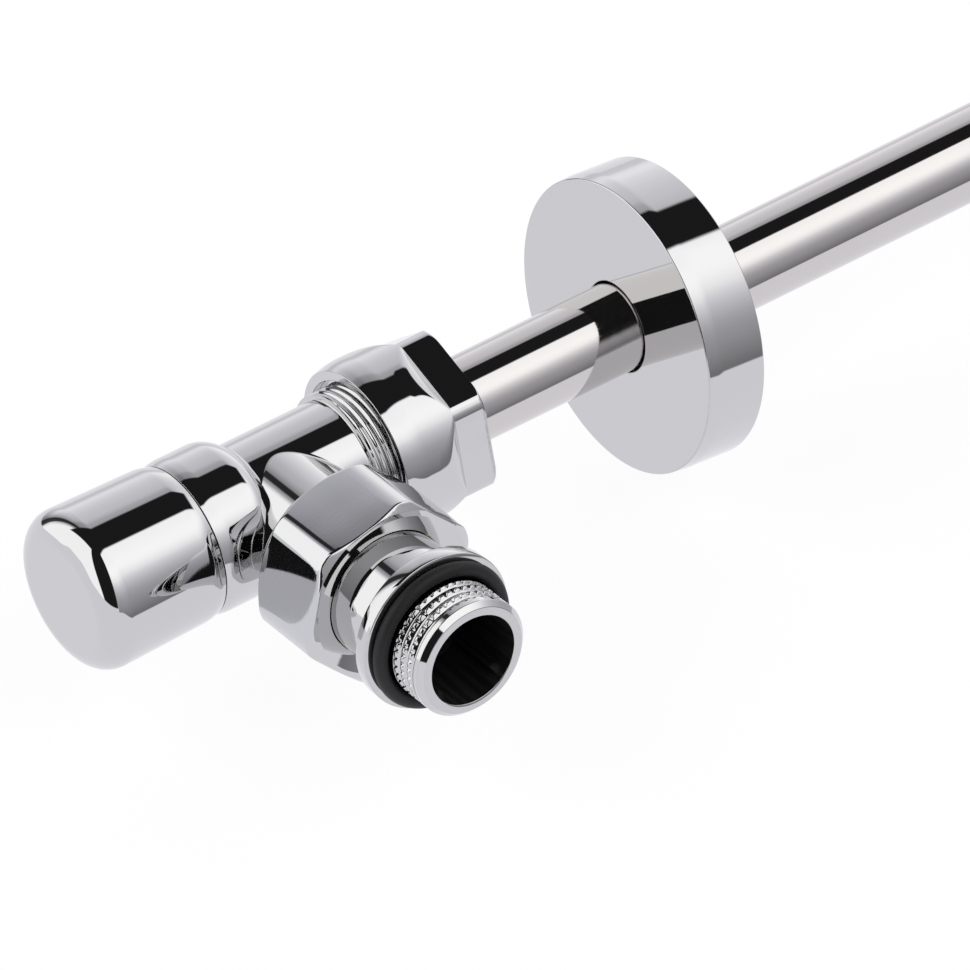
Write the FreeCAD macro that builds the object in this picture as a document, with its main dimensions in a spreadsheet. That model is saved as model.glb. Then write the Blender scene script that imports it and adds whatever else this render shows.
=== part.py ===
import FreeCAD, Part
import os
import Sketcher

# An angle radiator valve with its union tail, its pipe and the wall rosette, as one assembly.
#
# The valve's long axis lies along X, with the handle at -X and the pipe at +X. The union tail
# leaves the valve along -Y. The row's origin is on the tail's axis, where its external thread
# begins, so the two axes cross at X = 0, Y = cross_to_thread. Millimetres.

doc = FreeCAD.newDocument("angle_valve")

# ---------------------------------------------------------------------------------------------
# Driving sizes. Every cell is a plain number, and everything else is worked out from them.
# ---------------------------------------------------------------------------------------------

sizes = {
    # pipe and its compression joint
    "pipe_radius": 7.5,
    "pipe_wall": 1.0,
    "pipe_length": 160.0,
    "pipe_grip": 18.0,
    "pipe_mark_width": 1.0,
    "pipe_mark_depth": 0.3,
    "pipe_stop": 12.0,
    "socket_clearance": 0.1,
    "seal_width": 2.1,
    "seal_depth": 2.0,
    "outlet_wall": 2.4,
    "thread_step": 0.9,
    "barrel_reach": 13.8,
    "outlet_thread_length": 12.2,
    "olive_length": 3.0,
    "olive_shoulder": 0.96,
    "olive_edge": 1.05,
    "thrust_ring_length": 1.0,
    "sleeve_wall": 0.7,
    "sleeve_length": 12.0,
    "sleeve_rim": 1.0,
    # compression nut
    "outlet_thread_shown": 3.8,
    "nut_end_wall": 4.8,
    "nut_wall": 1.55,
    "flat_depth": 1.7,
    "flat_length": 5.2,
    "ramp_length": 6.5,
    "mouth_width": 0.85,
    "mouth_depth": 1.5,
    "nut_end_round": 0.8,
    "nut_rim_break": 0.3,
    "compression_nut_twist": 19.6,
    # clearances that parts share
    "running_gap": 0.05,
    "free_gap": 0.3,
    # valve body
    "body_wall": 2.5,
    "bell_wall": 3.5,
    "bell_reach": 17.5,
    "bell_straight": 8.0,
    "bell_round": 5.0,
    "chamber_back": 4.5,
    "seat_width": 2.6,
    "seat_lip": 1.0,
    "branch_radius": 7.6,
    # headwork
    "headwork_lip": 1.4,
    "headwork_thread_length": 8.0,
    "hex_height": 5.0,
    "hex_to_cap": 0.8,
    "neck_wall": 3.0,
    "neck_length": 7.5,
    "gland_wall": 1.5,
    "gland_head": 1.5,
    "gland_spigot": 2.5,
    "head_seal_wire": 1.6,
    # spindle
    "spindle_radius": 4.0,
    "screw_radius": 5.0,
    "screw_length": 3.4,
    "screw_pitch": 1.5,
    "screw_recess": 1.2,
    "stem_step": 0.4,
    "closing_travel": 3.0,
    "square_width": 5.0,
    "square_end_gap": 0.3,
    "spindle_seal_wire": 1.4,
    "spindle_seal_spacing": 3.2,
    "disc_gap": 1.2,
    "disc_length": 3.0,
    "disc_seal_length": 1.8,
    "disc_spigot_radius": 2.2,
    "disc_screw_radius": 1.2,
    "disc_screw_length": 5.0,
    "disc_screw_head_radius": 2.8,
    "disc_screw_head": 1.0,
    # handle
    "seam_gap": 0.35,
    "cap_flare": 0.6,
    "cap_round": 4.5,
    "cap_wall": 1.5,
    "cap_face": 1.6,
    "hub_boss": 2.9,
    "hub_plate": 4.0,
    "hub_wall": 2.0,
    "hub_skirt_gap": 0.6,
    "hub_end_gap": 0.5,
    "clip_wire": 1.1,
    "clip_inset": 3.4,
    "clip_lift": 0.3,
    # tail and union
    "tail_neck_shown": 10.9,
    "tail_thread_radius": 10.4775,
    "tail_thread_length": 7.3,
    "tail_relief_depth": 0.25,
    "tail_thread_chamfer": 0.9,
    "tail_wall": 2.4,
    "key_depth": 13.0,
    "key_lug_height": 0.9,
    "key_lug_width": 1.6,
    "tail_tip_wall": 1.2,
    "tail_neck_radius": 11.0,
    "flange_length": 1.6,
    "flange_ledge": 3.5,
    "flange_seal_wire": 2.5,
    "flange_seal_inset": 0.15,
    "head_ledge": 0.3,
    "head_shoulder": 1.3,
    "head_collar_length": 1.2,
    "head_cone_gap": 0.2,
    "stub_radius": 10.6,
    "stub_thread_wall": 1.9205,
    "stub_thread_length": 9.6,
    "stub_thread_shown": 1.1,
    "stub_end": 27.0,
    "stub_cone_depth": 4.0,
    "cone_seal_wire": 1.2,
    "snap_ring_wire": 1.2,
    "snap_ring_depth": 0.8,
    "snap_ring_ledge": 1.3,
    "snap_ring_gap": 20.0,
    "slide_ring_length": 0.8,
    "union_end_wall": 3.3,
    "union_wall": 1.73,
    "union_corner_trim": 0.75,
    "union_back_chamfer": 1.3,
    "union_hole_gap": 0.55,
    "union_dish_depth": 1.6,
    "union_dish_width": 2.6,
    "union_front_land": 1.0,
    "union_nut_twist": 13.9,
    # wall rosette
    "rosette_place": 69.7,
    "rosette_radius": 25.6,
    "rosette_depth": 11.0,
    "rosette_sheet": 1.0,
    "rosette_tilt": 5.3,
    "rosette_hole_gap": 0.55,
    "rosette_edge_round": 0.4,
    "grommet_width": 2.0,
    "grommet_length": 2.6,
    "grommet_inset": 2.4,
    "hub_ring_length": 4.6,
    "hub_ring_gap": 0.75,
}

sheet = doc.addObject("Spreadsheet::Sheet", "Dims")
for row, (alias, number) in enumerate(sizes.items(), start=1):
    sheet.set("A%d" % row, alias)
    sheet.set("B%d" % row, str(number))
    sheet.setAlias("B%d" % row, alias)
doc.recompute()


class Size:
    """A length that knows its number and the formula that ties a feature to the sheet."""

    def __init__(self, number, formula):
        self.number = number
        self.formula = formula

    def __add__(self, other):
        other = as_size(other)
        return Size(self.number + other.number, "(%s + %s)" % (self.formula, other.formula))

    def __sub__(self, other):
        other = as_size(other)
        return Size(self.number - other.number, "(%s - %s)" % (self.formula, other.formula))

    def __mul__(self, factor):
        return Size(self.number * factor, "(%s * %.9g)" % (self.formula, factor))

    def __neg__(self):
        return self * -1.0


def as_size(value):
    if isinstance(value, Size):
        return value
    return Size(float(value), "%.9g" % value)


def dim(alias):
    return Size(float(sheet.get(alias)), "Dims." + alias)


zero = as_size(0.0)
running = dim("running_gap")
free = dim("free_gap")


# ---------------------------------------------------------------------------------------------
# Ways of making a piece
# ---------------------------------------------------------------------------------------------

def plane(body, role):
    """One of the body's own origin planes or axes."""
    return [feature for feature in body.Origin.OriginFeatures if feature.Role == role][0]


def new_body(label):
    body = doc.addObject("PartDesign::Body", label)
    body.Label = label
    return body


def new_sketch(body, name, role):
    sketch = body.newObject("Sketcher::SketchObject", name)
    sketch.AttachmentSupport = [(plane(body, role), "")]
    sketch.MapMode = "FlatFace"
    return sketch


def tie_point(sketch, geometry, end, x, y):
    """Hold one end of a line or arc at (x, y) from the sketch's origin, by two bound lengths."""
    for kind, size in (("DistanceX", x), ("DistanceY", y)):
        if abs(size.number) < 1e-9:
            on_axis = -2 if kind == "DistanceX" else -1
            sketch.addConstraint(Sketcher.Constraint("PointOnObject", geometry, end, on_axis))
            continue
        index = sketch.addConstraint(Sketcher.Constraint(kind, -1, 1, geometry, end, size.number))
        sketch.setExpression("Constraints[%d]" % index, size.formula)


def draw_outline(sketch, points):
    """A closed outline of straight lines. A third item in a point rounds that square corner."""
    count = len(points)
    starts = []
    ends = []
    for index in range(count):
        x, y = points[index][0], points[index][1]
        if len(points[index]) == 2:
            starts.append((x, y))
            ends.append((x, y))
            continue
        radius = points[index][2]
        before = points[index - 1]
        after = points[(index + 1) % count]
        toward = []
        for other in (before, after):
            dx = other[0].number - x.number
            dy = other[1].number - y.number
            if abs(dx) > abs(dy):
                toward.append((x + radius * (1.0 if dx > 0 else -1.0), y))
            else:
                toward.append((x, y + radius * (1.0 if dy > 0 else -1.0)))
        starts.append(toward[0])
        ends.append(toward[1])
    lines = []
    for index in range(count):
        a = ends[index]
        b = starts[(index + 1) % count]
        segment = Part.LineSegment(FreeCAD.Vector(a[0].number, a[1].number, 0),
                                   FreeCAD.Vector(b[0].number, b[1].number, 0))
        lines.append(sketch.addGeometry(segment, False))
    for index in range(count):
        tie_point(sketch, lines[index], 1, ends[index][0], ends[index][1])
        following = lines[(index + 1) % count]
        corner = points[(index + 1) % count]
        if len(corner) == 2:
            sketch.addConstraint(Sketcher.Constraint("Coincident", lines[index], 2, following, 1))
            continue
        tie_point(sketch, lines[index], 2, starts[(index + 1) % count][0], starts[(index + 1) % count][1])
        add_corner_arc(sketch, lines[index], following, corner[2])


def add_corner_arc(sketch, line_in, line_out, radius):
    """A quarter round that joins the end of one line to the start of the next."""
    a = sketch.Geometry[line_in].EndPoint
    b = sketch.Geometry[line_out].StartPoint
    along = sketch.Geometry[line_in].EndPoint - sketch.Geometry[line_in].StartPoint
    along.normalize()
    corner = a + along * radius.number
    centre = a + b - corner
    middle = centre + (corner - centre).normalize() * radius.number
    arc = sketch.addGeometry(Part.Arc(a, middle, b), False)
    geometry = sketch.Geometry[arc]
    forward = (geometry.StartPoint - a).Length < (geometry.EndPoint - a).Length
    sketch.addConstraint(Sketcher.Constraint("Coincident", arc, 1 if forward else 2, line_in, 2))
    sketch.addConstraint(Sketcher.Constraint("Coincident", arc, 2 if forward else 1, line_out, 1))
    index = sketch.addConstraint(Sketcher.Constraint("Radius", arc, radius.number))
    sketch.setExpression("Constraints[%d]" % index, radius.formula)


def turn(body, name, outline, kind="PartDesign::Revolution", axis="H_Axis"):
    """Turn an outline of (along the axis, radius) about the body's X axis, or V for its Y axis."""
    if axis == "V_Axis":
        outline = [(point[1], point[0]) + tuple(point[2:]) for point in outline]
    sketch = new_sketch(body, name + "_outline", "XY_Plane")
    draw_outline(sketch, outline)
    feature = body.newObject(kind, name)
    feature.Profile = sketch
    feature.ReferenceAxis = (sketch, [axis])
    feature.Angle = 360.0
    body.Tip = feature
    doc.recompute()
    return feature


def groove(body, name, outline, axis="H_Axis"):
    """Turn an outline away. The volume has to fall, or the cut missed the piece."""
    before = body.Shape.Volume
    feature = turn(body, name, outline, "PartDesign::Groove", axis)
    assert body.Shape.Volume < before - 1e-6, name + " cut nothing"
    return feature


def ring_outline(start, end, inner, outer):
    return [(start, inner), (end, inner), (end, outer), (start, outer)]


def turned_ring(label, start, end, inner, outer):
    """A plain ring from start to end along its own X axis."""
    body = new_body(label)
    turn(body, label + "_ring", ring_outline(start, end, inner, outer))
    return body


def pocket_pattern(body, name, outline, count, through=None):
    """Cut one outline in the XZ plane through the piece along Y, and repeat it about X."""
    before = body.Shape.Volume
    sketch = new_sketch(body, name + "_outline", "XZ_Plane")
    draw_outline(sketch, outline)
    cut = body.newObject("PartDesign::Pocket", name)
    cut.Profile = sketch
    cut.Midplane = True
    cut.Type = 0
    cut.setExpression("Length", through.formula)
    doc.recompute()
    pattern = body.newObject("PartDesign::PolarPattern", name + "_round")
    pattern.Originals = [cut]
    pattern.Axis = (plane(body, "X_Axis"), [""])
    pattern.Angle = 360.0
    pattern.Occurrences = count
    body.Tip = pattern
    doc.recompute()
    assert body.Shape.Volume < before - 1e-6, name + " cut nothing"
    return pattern


def pad_pattern(body, name, outline, count, width):
    """Raise a rib of the given width from one outline in the XZ plane, and repeat it about X."""
    before = body.Shape.Volume
    sketch = new_sketch(body, name + "_outline", "XZ_Plane")
    draw_outline(sketch, outline)
    rib = body.newObject("PartDesign::Pad", name)
    rib.Profile = sketch
    rib.Midplane = True
    rib.setExpression("Length", width.formula)
    doc.recompute()
    pattern = body.newObject("PartDesign::PolarPattern", name + "_round")
    pattern.Originals = [rib]
    pattern.Axis = (plane(body, "X_Axis"), [""])
    pattern.Angle = 360.0
    pattern.Occurrences = count
    body.Tip = pattern
    doc.recompute()
    assert body.Shape.Volume > before + 1e-6, name + " added nothing"
    return pattern


# ---------------------------------------------------------------------------------------------
# Sizes that several pieces share
# ---------------------------------------------------------------------------------------------

pipe_radius = dim("pipe_radius")
seal_seat_radius = pipe_radius + dim("seal_width")
outlet_radius = seal_seat_radius + dim("outlet_wall")
barrel_radius = outlet_radius - dim("thread_step")
outlet_end = dim("barrel_reach") + dim("outlet_thread_length")
seal_seat = outlet_end - dim("seal_depth")

chamber_radius = barrel_radius - dim("body_wall")
seat_radius = chamber_radius - dim("seat_width")
branch_radius = dim("branch_radius")
headwork_radius = chamber_radius + dim("headwork_lip")
bell_radius = headwork_radius + dim("bell_wall")
bell_face = -dim("bell_reach")
headwork_inner_end = bell_face + dim("headwork_thread_length")

olive_end = outlet_end + dim("olive_length")
nut_shoulder = olive_end + dim("thrust_ring_length")
nut_bore = outlet_radius + running
nut_flat = nut_bore + dim("nut_wall")
nut_radius = nut_flat + dim("flat_depth")
nut_start = dim("barrel_reach") + dim("outlet_thread_shown")
nut_end = nut_shoulder + dim("nut_end_wall")

cap_inner = bell_radius - dim("cap_wall")
cap_back = bell_face - dim("seam_gap")

neck_radius = dim("spindle_radius") + dim("neck_wall")
neck_start = bell_face - dim("hex_height")
neck_end = neck_start - dim("neck_length")
gland_face = neck_end - dim("gland_head")
hub_end = gland_face - dim("hub_end_gap")
hub_plate_end = hub_end - dim("hub_boss")
hub_front = hub_plate_end - dim("hub_plate")
cap_front = hub_front - dim("cap_face")
clip_place = neck_end + dim("clip_inset")

stub_end = dim("stub_end")
stub_thread_start = stub_end - dim("stub_thread_length")
cone_start = stub_end - dim("stub_cone_depth")
head_radius = dim("tail_neck_radius") + dim("head_ledge")
cone_radius = head_radius - dim("head_shoulder")
stub_thread_radius = head_radius + dim("stub_thread_wall")
snap_start = stub_end + dim("head_collar_length")
snap_end = snap_start + dim("snap_ring_wire")
union_shoulder = snap_end + dim("slide_ring_length")
union_bore = stub_thread_radius + running
union_flat = union_bore + dim("union_wall")
union_start = stub_thread_start + dim("stub_thread_shown")
union_end = union_shoulder + dim("union_end_wall")
cross_to_flange = union_end + dim("tail_neck_shown") + dim("flange_length")
cross_to_thread = cross_to_flange + dim("flange_seal_wire") + running * 2.0


hexagon = 3.0 ** 0.5 / 2.0             # a hexagon's half width, flat to centre, over its corner's
square_diagonal = 2.0 ** 0.5 / 2.0     # a square's corner radius over its width
overshoot = as_size(1.0)               # how far a cutting outline runs past the piece

pieces = []
along_x = FreeCAD.Rotation()
along_tail = FreeCAD.Rotation(FreeCAD.Vector(0, 0, 1), -90)


def place(piece, rotation=along_x, twist=0.0):
    """Put a piece's own origin where the two axes cross, with its X axis along its own line."""
    own_turn = FreeCAD.Rotation(FreeCAD.Vector(1, 0, 0), twist)
    piece.Placement = FreeCAD.Placement(FreeCAD.Vector(0, 0, 0), rotation * own_turn)
    piece.setExpression("Placement.Base.y", cross_to_thread.formula)
    pieces.append(piece)


def seal_ring(label, radius, wire, along, on_tail=False):
    """A round-section ring about the valve's axis or the tail's, at a distance from the crossing."""
    ring = doc.addObject("Part::Torus", label)
    ring.Label = label
    ring.setExpression("Radius1", radius.formula)
    ring.setExpression("Radius2", (wire * 0.5).formula)
    if on_tail:
        ring.Placement.Rotation = FreeCAD.Rotation(FreeCAD.Vector(1, 0, 0), 90)
        ring.setExpression("Placement.Base.y", (cross_to_thread - along).formula)
    else:
        ring.Placement.Rotation = FreeCAD.Rotation(FreeCAD.Vector(0, 1, 0), 90)
        ring.setExpression("Placement.Base.x", along.formula)
        ring.setExpression("Placement.Base.y", cross_to_thread.formula)
    pieces.append(ring)
    return ring


# ---------------------------------------------------------------------------------------------
# Valve body: one brass forging with the bell, the barrel, the pipe socket and the branch
# ---------------------------------------------------------------------------------------------

def make_valve_body():
    body = new_body("valve_body")
    bell_end = bell_face + dim("bell_straight") + dim("bell_round")
    turn(body, "barrel", [
        (bell_face + dim("bell_straight") * 0.5, zero),
        (outlet_end, zero),
        (outlet_end, outlet_radius),
        (dim("barrel_reach"), outlet_radius),
        (dim("barrel_reach"), barrel_radius),
        (bell_face + dim("bell_straight") * 0.5, barrel_radius),
    ])
    turn(body, "bell", [
        (bell_face, zero),
        (bell_end, zero),
        (bell_end, bell_radius, dim("bell_round")),
        (bell_face, bell_radius),
    ])
    turn(body, "branch", [
        (zero, zero),
        (-stub_end, zero),
        (-stub_end, stub_thread_radius),
        (-stub_thread_start, stub_thread_radius),
        (-stub_thread_start, dim("stub_radius")),
        (zero, dim("stub_radius")),
    ], axis="V_Axis")
    lip_face = dim("chamber_back") - dim("seat_lip")
    lip_radius = seat_radius + dim("seat_lip")
    ring_pit = headwork_radius + dim("head_seal_wire") + running * 2.0
    groove(body, "waterway", [
        (bell_face, zero),
        (outlet_end, zero),
        (outlet_end, seal_seat_radius),
        (seal_seat, seal_seat_radius),
        (seal_seat, pipe_radius + dim("socket_clearance")),
        (dim("pipe_stop"), pipe_radius + dim("socket_clearance")),
        (dim("pipe_stop"), seat_radius),
        (lip_face, seat_radius),
        (lip_face, lip_radius),
        (dim("chamber_back"), lip_radius),
        (dim("chamber_back"), chamber_radius),
        (headwork_inner_end + free, chamber_radius),
        (headwork_inner_end + free, headwork_radius + running),
        (bell_face + dim("head_seal_wire"), headwork_radius + running),
        (bell_face + dim("head_seal_wire"), ring_pit),
        (bell_face, ring_pit),
    ])
    groove(body, "branch_bore", [
        (zero, zero),
        (-stub_end, zero),
        (-stub_end, cone_radius),
        (-cone_start, branch_radius),
        (zero, branch_radius),
    ], axis="V_Axis")
    place(body)


# ---------------------------------------------------------------------------------------------
# Headwork: the screwed-in insert that carries the spindle, with its seal and gland
# ---------------------------------------------------------------------------------------------

def make_headwork():
    body = new_body("headwork")
    corner_radius = cap_inner - dim("hex_to_cap")
    screw_bore_start = bell_face + dim("screw_recess") - free
    turn(body, "headwork_blank", [
        (neck_end, zero),
        (headwork_inner_end, zero),
        (headwork_inner_end, headwork_radius),
        (bell_face, headwork_radius),
        (bell_face, corner_radius),
        (neck_start, corner_radius),
        (neck_start, neck_radius),
        (neck_end, neck_radius),
    ])
    groove(body, "headwork_bore", [
        (neck_end, zero),
        (headwork_inner_end, zero),
        (headwork_inner_end, dim("screw_radius") + running),
        (screw_bore_start, dim("screw_radius") + running),
        (screw_bore_start, dim("spindle_radius") + running),
        (neck_end + dim("gland_spigot") + free, dim("spindle_radius") + running),
        (neck_end + dim("gland_spigot") + free, dim("spindle_radius") + dim("gland_wall") + running),
        (neck_end, dim("spindle_radius") + dim("gland_wall") + running),
    ])
    clip_bottom = neck_radius + dim("clip_lift") - dim("clip_wire") * 0.5 - free
    half_width = dim("clip_wire") * 0.5 + free
    groove(body, "clip_groove", [
        (clip_place - half_width, clip_bottom),
        (clip_place + half_width, clip_bottom),
        (clip_place + half_width, neck_radius),
        (clip_place - half_width, neck_radius),
    ])
    hex_flat = corner_radius * hexagon
    pocket_pattern(body, "headwork_flats", [
        (neck_start, hex_flat),
        (bell_face, hex_flat),
        (bell_face, corner_radius + overshoot),
        (neck_start, corner_radius + overshoot),
    ], 6, corner_radius * 2.0)
    place(body)
    seal_ring("headwork_seal", headwork_radius + dim("head_seal_wire") * 0.5 + running,
              dim("head_seal_wire"), bell_face + dim("head_seal_wire") * 0.5)


def make_gland_nut():
    body = new_body("gland_nut")
    turn(body, "gland", [
        (gland_face, dim("spindle_radius") + running),
        (neck_end + dim("gland_spigot"), dim("spindle_radius") + running),
        (neck_end + dim("gland_spigot"), dim("spindle_radius") + dim("gland_wall")),
        (neck_end, dim("spindle_radius") + dim("gland_wall")),
        (neck_end, neck_radius - dim("hub_skirt_gap")),
        (gland_face, neck_radius - dim("hub_skirt_gap")),
    ])
    place(body)


# ---------------------------------------------------------------------------------------------
# Spindle with its seals, and the disc that closes the seat
# ---------------------------------------------------------------------------------------------

washer_face = dim("chamber_back") - dim("seat_lip") - running - dim("closing_travel")
disc_face = washer_face - dim("disc_seal_length")
disc_back = disc_face - dim("disc_length")
screw_start = bell_face + dim("screw_recess")
spindle_seals = [neck_end + dim("gland_spigot") + dim("spindle_seal_wire") + free * 2.0]
spindle_seals.append(spindle_seals[0] + dim("spindle_seal_spacing"))


def make_spindle():
    body = new_body("spindle")
    shaft_start = hub_end + free
    screw_end = screw_start + dim("screw_length")
    turn(body, "shaft", [
        (hub_front + dim("square_end_gap"), zero),
        (disc_face, zero),
        (disc_face, dim("disc_spigot_radius")),
        (disc_back, dim("disc_spigot_radius")),
        (disc_back, dim("spindle_radius") - dim("stem_step")),
        (screw_end, dim("spindle_radius") - dim("stem_step")),
        (screw_end, dim("screw_radius")),
        (screw_start, dim("screw_radius")),
        (screw_start, dim("spindle_radius")),
        (hub_front + dim("square_end_gap"), dim("spindle_radius")),
    ])
    groove(body, "disc_screw_hole", [
        (washer_face - dim("disc_screw_length"), zero),
        (disc_face, zero),
        (disc_face, dim("disc_screw_radius")),
        (washer_face - dim("disc_screw_length"), dim("disc_screw_radius")),
    ])
    half_wire = dim("spindle_seal_wire") * 0.5
    for number, seal_place in enumerate(spindle_seals, start=1):
        groove(body, "seal_groove_%d" % number, [
            (seal_place - half_wire - running, dim("spindle_radius") - dim("spindle_seal_wire")),
            (seal_place + half_wire + running, dim("spindle_radius") - dim("spindle_seal_wire")),
            (seal_place + half_wire + running, dim("spindle_radius")),
            (seal_place - half_wire - running, dim("spindle_radius")),
        ])
    pocket_pattern(body, "square_end", [
        (hub_front + dim("square_end_gap"), dim("square_width") * 0.5),
        (shaft_start, dim("square_width") * 0.5),
        (shaft_start, dim("spindle_radius") + overshoot),
        (hub_front + dim("square_end_gap"), dim("spindle_radius") + overshoot),
    ], 4, dim("spindle_radius") * 2.0)
    place(body)
    for number, seal_place in enumerate(spindle_seals, start=1):
        seal_ring("spindle_seal_%d" % number, dim("spindle_radius") - half_wire,
                  dim("spindle_seal_wire"), seal_place)


def make_closing_disc():
    disc_radius = chamber_radius - dim("disc_gap")
    disc = turned_ring("valve_disc", disc_back, disc_face, dim("disc_spigot_radius"), disc_radius)
    place(disc)
    washer = turned_ring("disc_washer", disc_face, washer_face, dim("disc_screw_radius"),
                         disc_radius - running * 4.0)
    place(washer)
    screw = new_body("disc_screw")
    turn(screw, "screw", [
        (washer_face - dim("disc_screw_length"), zero),
        (washer_face + dim("disc_screw_head"), zero),
        (washer_face + dim("disc_screw_head"), dim("disc_screw_head_radius")),
        (washer_face, dim("disc_screw_head_radius")),
        (washer_face, dim("disc_screw_radius")),
        (washer_face - dim("disc_screw_length"), dim("disc_screw_radius")),
    ])
    place(screw)


# ---------------------------------------------------------------------------------------------
# Handle: a chromed shell on a hub that drives the spindle's square and clips to the headwork
# ---------------------------------------------------------------------------------------------

def make_handle():
    cap = new_body("handle_cap")
    turn(cap, "cap_shell", [
        (cap_front, zero),
        (hub_front, zero),
        (hub_front, cap_inner),
        (cap_back, cap_inner),
        (cap_back, bell_radius),
        (cap_front, bell_radius + dim("cap_flare"), dim("cap_round")),
    ])
    place(cap)

    hub = new_body("handle_hub")
    skirt_inner = neck_radius + dim("hub_skirt_gap")
    skirt_outer = skirt_inner + dim("hub_wall")
    skirt_end = clip_place + dim("clip_wire") + free * 2.0
    boss_radius = dim("square_width") * square_diagonal + dim("hub_wall")
    turn(hub, "hub_blank", [
        (hub_front, zero),
        (hub_end, zero),
        (hub_end, boss_radius),
        (hub_plate_end, boss_radius),
        (hub_plate_end, skirt_inner),
        (skirt_end, skirt_inner),
        (skirt_end, skirt_outer),
        (hub_plate_end, skirt_outer),
        (hub_plate_end, cap_inner),
        (hub_front, cap_inner),
    ])
    half_socket = dim("square_width") * 0.5 + running
    pocket_pattern(hub, "square_socket", [
        (hub_front, -half_socket),
        (hub_end, -half_socket),
        (hub_end, half_socket),
        (hub_front, half_socket),
    ], 1, half_socket * 2.0)
    clip_radius = neck_radius + dim("clip_lift")
    half_wire = dim("clip_wire") * 0.5
    groove(hub, "clip_seat", [
        (clip_place - half_wire - running, skirt_inner - overshoot),
        (clip_place + half_wire + running, skirt_inner - overshoot),
        (clip_place + half_wire + running, clip_radius + half_wire),
        (clip_place - half_wire - running, clip_radius + half_wire),
    ])
    place(hub)
    seal_ring("handle_clip", clip_radius, dim("clip_wire"), clip_place)


# ---------------------------------------------------------------------------------------------
# Union: the tailpiece with its seals, the nut, and the two rings the nut pulls on
# ---------------------------------------------------------------------------------------------

def make_tailpiece():
    body = new_body("tailpiece")
    thread_end = cross_to_thread + dim("tail_thread_length")
    relief_radius = dim("tail_thread_radius") - dim("tail_relief_depth")
    key_radius = dim("tail_thread_radius") - dim("tail_wall")
    neck = dim("tail_neck_radius")
    flange_back = cross_to_flange - dim("flange_length")
    chamfer = dim("tail_thread_chamfer")
    cone_tip = branch_radius - dim("head_cone_gap")
    waterway_radius = branch_radius - dim("tail_tip_wall")
    turn(body, "tail_blank", [
        (cone_start, zero),
        (thread_end, zero),
        (thread_end, dim("tail_thread_radius") - chamfer),
        (thread_end - chamfer, dim("tail_thread_radius")),
        (cross_to_thread, dim("tail_thread_radius")),
        (cross_to_thread, relief_radius),
        (cross_to_flange, relief_radius),
        (cross_to_flange, dim("tail_thread_radius") + dim("flange_ledge")),
        (flange_back, dim("tail_thread_radius") + dim("flange_ledge")),
        (flange_back, neck),
        (snap_end, neck),
        (snap_end, neck - dim("snap_ring_depth")),
        (snap_start, neck - dim("snap_ring_depth")),
        (snap_start, head_radius),
        (stub_end, head_radius),
        (stub_end, cone_radius - dim("head_cone_gap")),
        (cone_start, cone_tip),
    ])
    groove(body, "tail_bore", [
        (cone_start, zero),
        (thread_end, zero),
        (thread_end, key_radius),
        (thread_end - dim("key_depth"), key_radius),
        (thread_end - dim("key_depth"), waterway_radius),
        (cone_start, waterway_radius),
    ])
    # Four ribs inside the mouth take the installer's key. They are rooted in the tail's wall.
    rib_top = key_radius - dim("key_lug_height")
    rib_root = key_radius + dim("tail_wall") * 0.5
    rib_start = thread_end - dim("key_depth")
    rib_end = thread_end - chamfer * 2.0
    pad_pattern(body, "key_lugs", [
        (rib_start, rib_top),
        (rib_end, rib_top),
        (rib_end, rib_root),
        (rib_start, rib_root),
    ], 4, dim("key_lug_width"))

    # The cone's own seal sits half way up the cone and just meets the body's seat. The seat
    # slopes, so the ring lies a little more than half its wire inside it.
    seal_place = cone_start + dim("stub_cone_depth") * 0.5
    seal_radius = (branch_radius + cone_radius) * 0.5 - dim("cone_seal_wire") * 0.6
    half_wire = dim("cone_seal_wire") * 0.5
    groove(body, "cone_seal_groove", [
        (seal_place - half_wire - running, seal_radius - half_wire),
        (seal_place + half_wire + running, seal_radius - half_wire),
        (seal_place + half_wire + running, cone_radius),
        (seal_place - half_wire - running, cone_radius),
    ])
    place(body, along_tail)
    seal_ring("tail_cone_seal", seal_radius, dim("cone_seal_wire"), seal_place, on_tail=True)
    flange_seal_radius = (dim("tail_thread_radius") + dim("flange_seal_inset")
                          + dim("flange_seal_wire") * 0.5)
    seal_ring("flange_seal", flange_seal_radius, dim("flange_seal_wire"),
              cross_to_flange + dim("flange_seal_wire") * 0.5, on_tail=True)


def make_union_rings():
    neck = dim("tail_neck_radius")
    snap = turned_ring("union_snap_ring", snap_start + running, snap_end - running,
                       neck - dim("snap_ring_depth"), neck + dim("snap_ring_ledge"))
    snap.Tip.setExpression("Angle", "360 deg - Dims.snap_ring_gap * 1 deg")
    place(snap, along_tail)
    slide = turned_ring("union_slide_ring", snap_end, union_shoulder, neck + running,
                        union_bore - free)
    place(slide, along_tail)


def make_union_nut():
    body = new_body("union_nut")
    corner = union_flat * (1.0 / hexagon) - dim("union_corner_trim")
    hole = dim("tail_neck_radius") + dim("union_hole_gap")
    dish_edge = hole + dim("union_dish_width")
    front_chamfer = corner - dish_edge - dim("union_front_land")
    turn(body, "union_blank", [
        (union_start, union_bore),
        (union_shoulder, union_bore),
        (union_shoulder, hole),
        (union_end - dim("union_dish_depth"), hole),
        (union_end, dish_edge),
        (union_end, corner - front_chamfer),
        (union_end - front_chamfer * 0.5, corner),
        (union_start + dim("union_back_chamfer"), corner),
        (union_start, corner - dim("union_back_chamfer")),
    ])
    pocket_pattern(body, "union_flats", [
        (union_start, union_flat),
        (union_end, union_flat),
        (union_end, corner + overshoot),
        (union_start, corner + overshoot),
    ], 6, corner * 2.0)
    place(body, along_tail, dim("union_nut_twist").number)


# ---------------------------------------------------------------------------------------------
# Compression joint: nut, thrust ring, olive, rubber seal and the sleeve inside the pipe
# ---------------------------------------------------------------------------------------------

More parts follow.
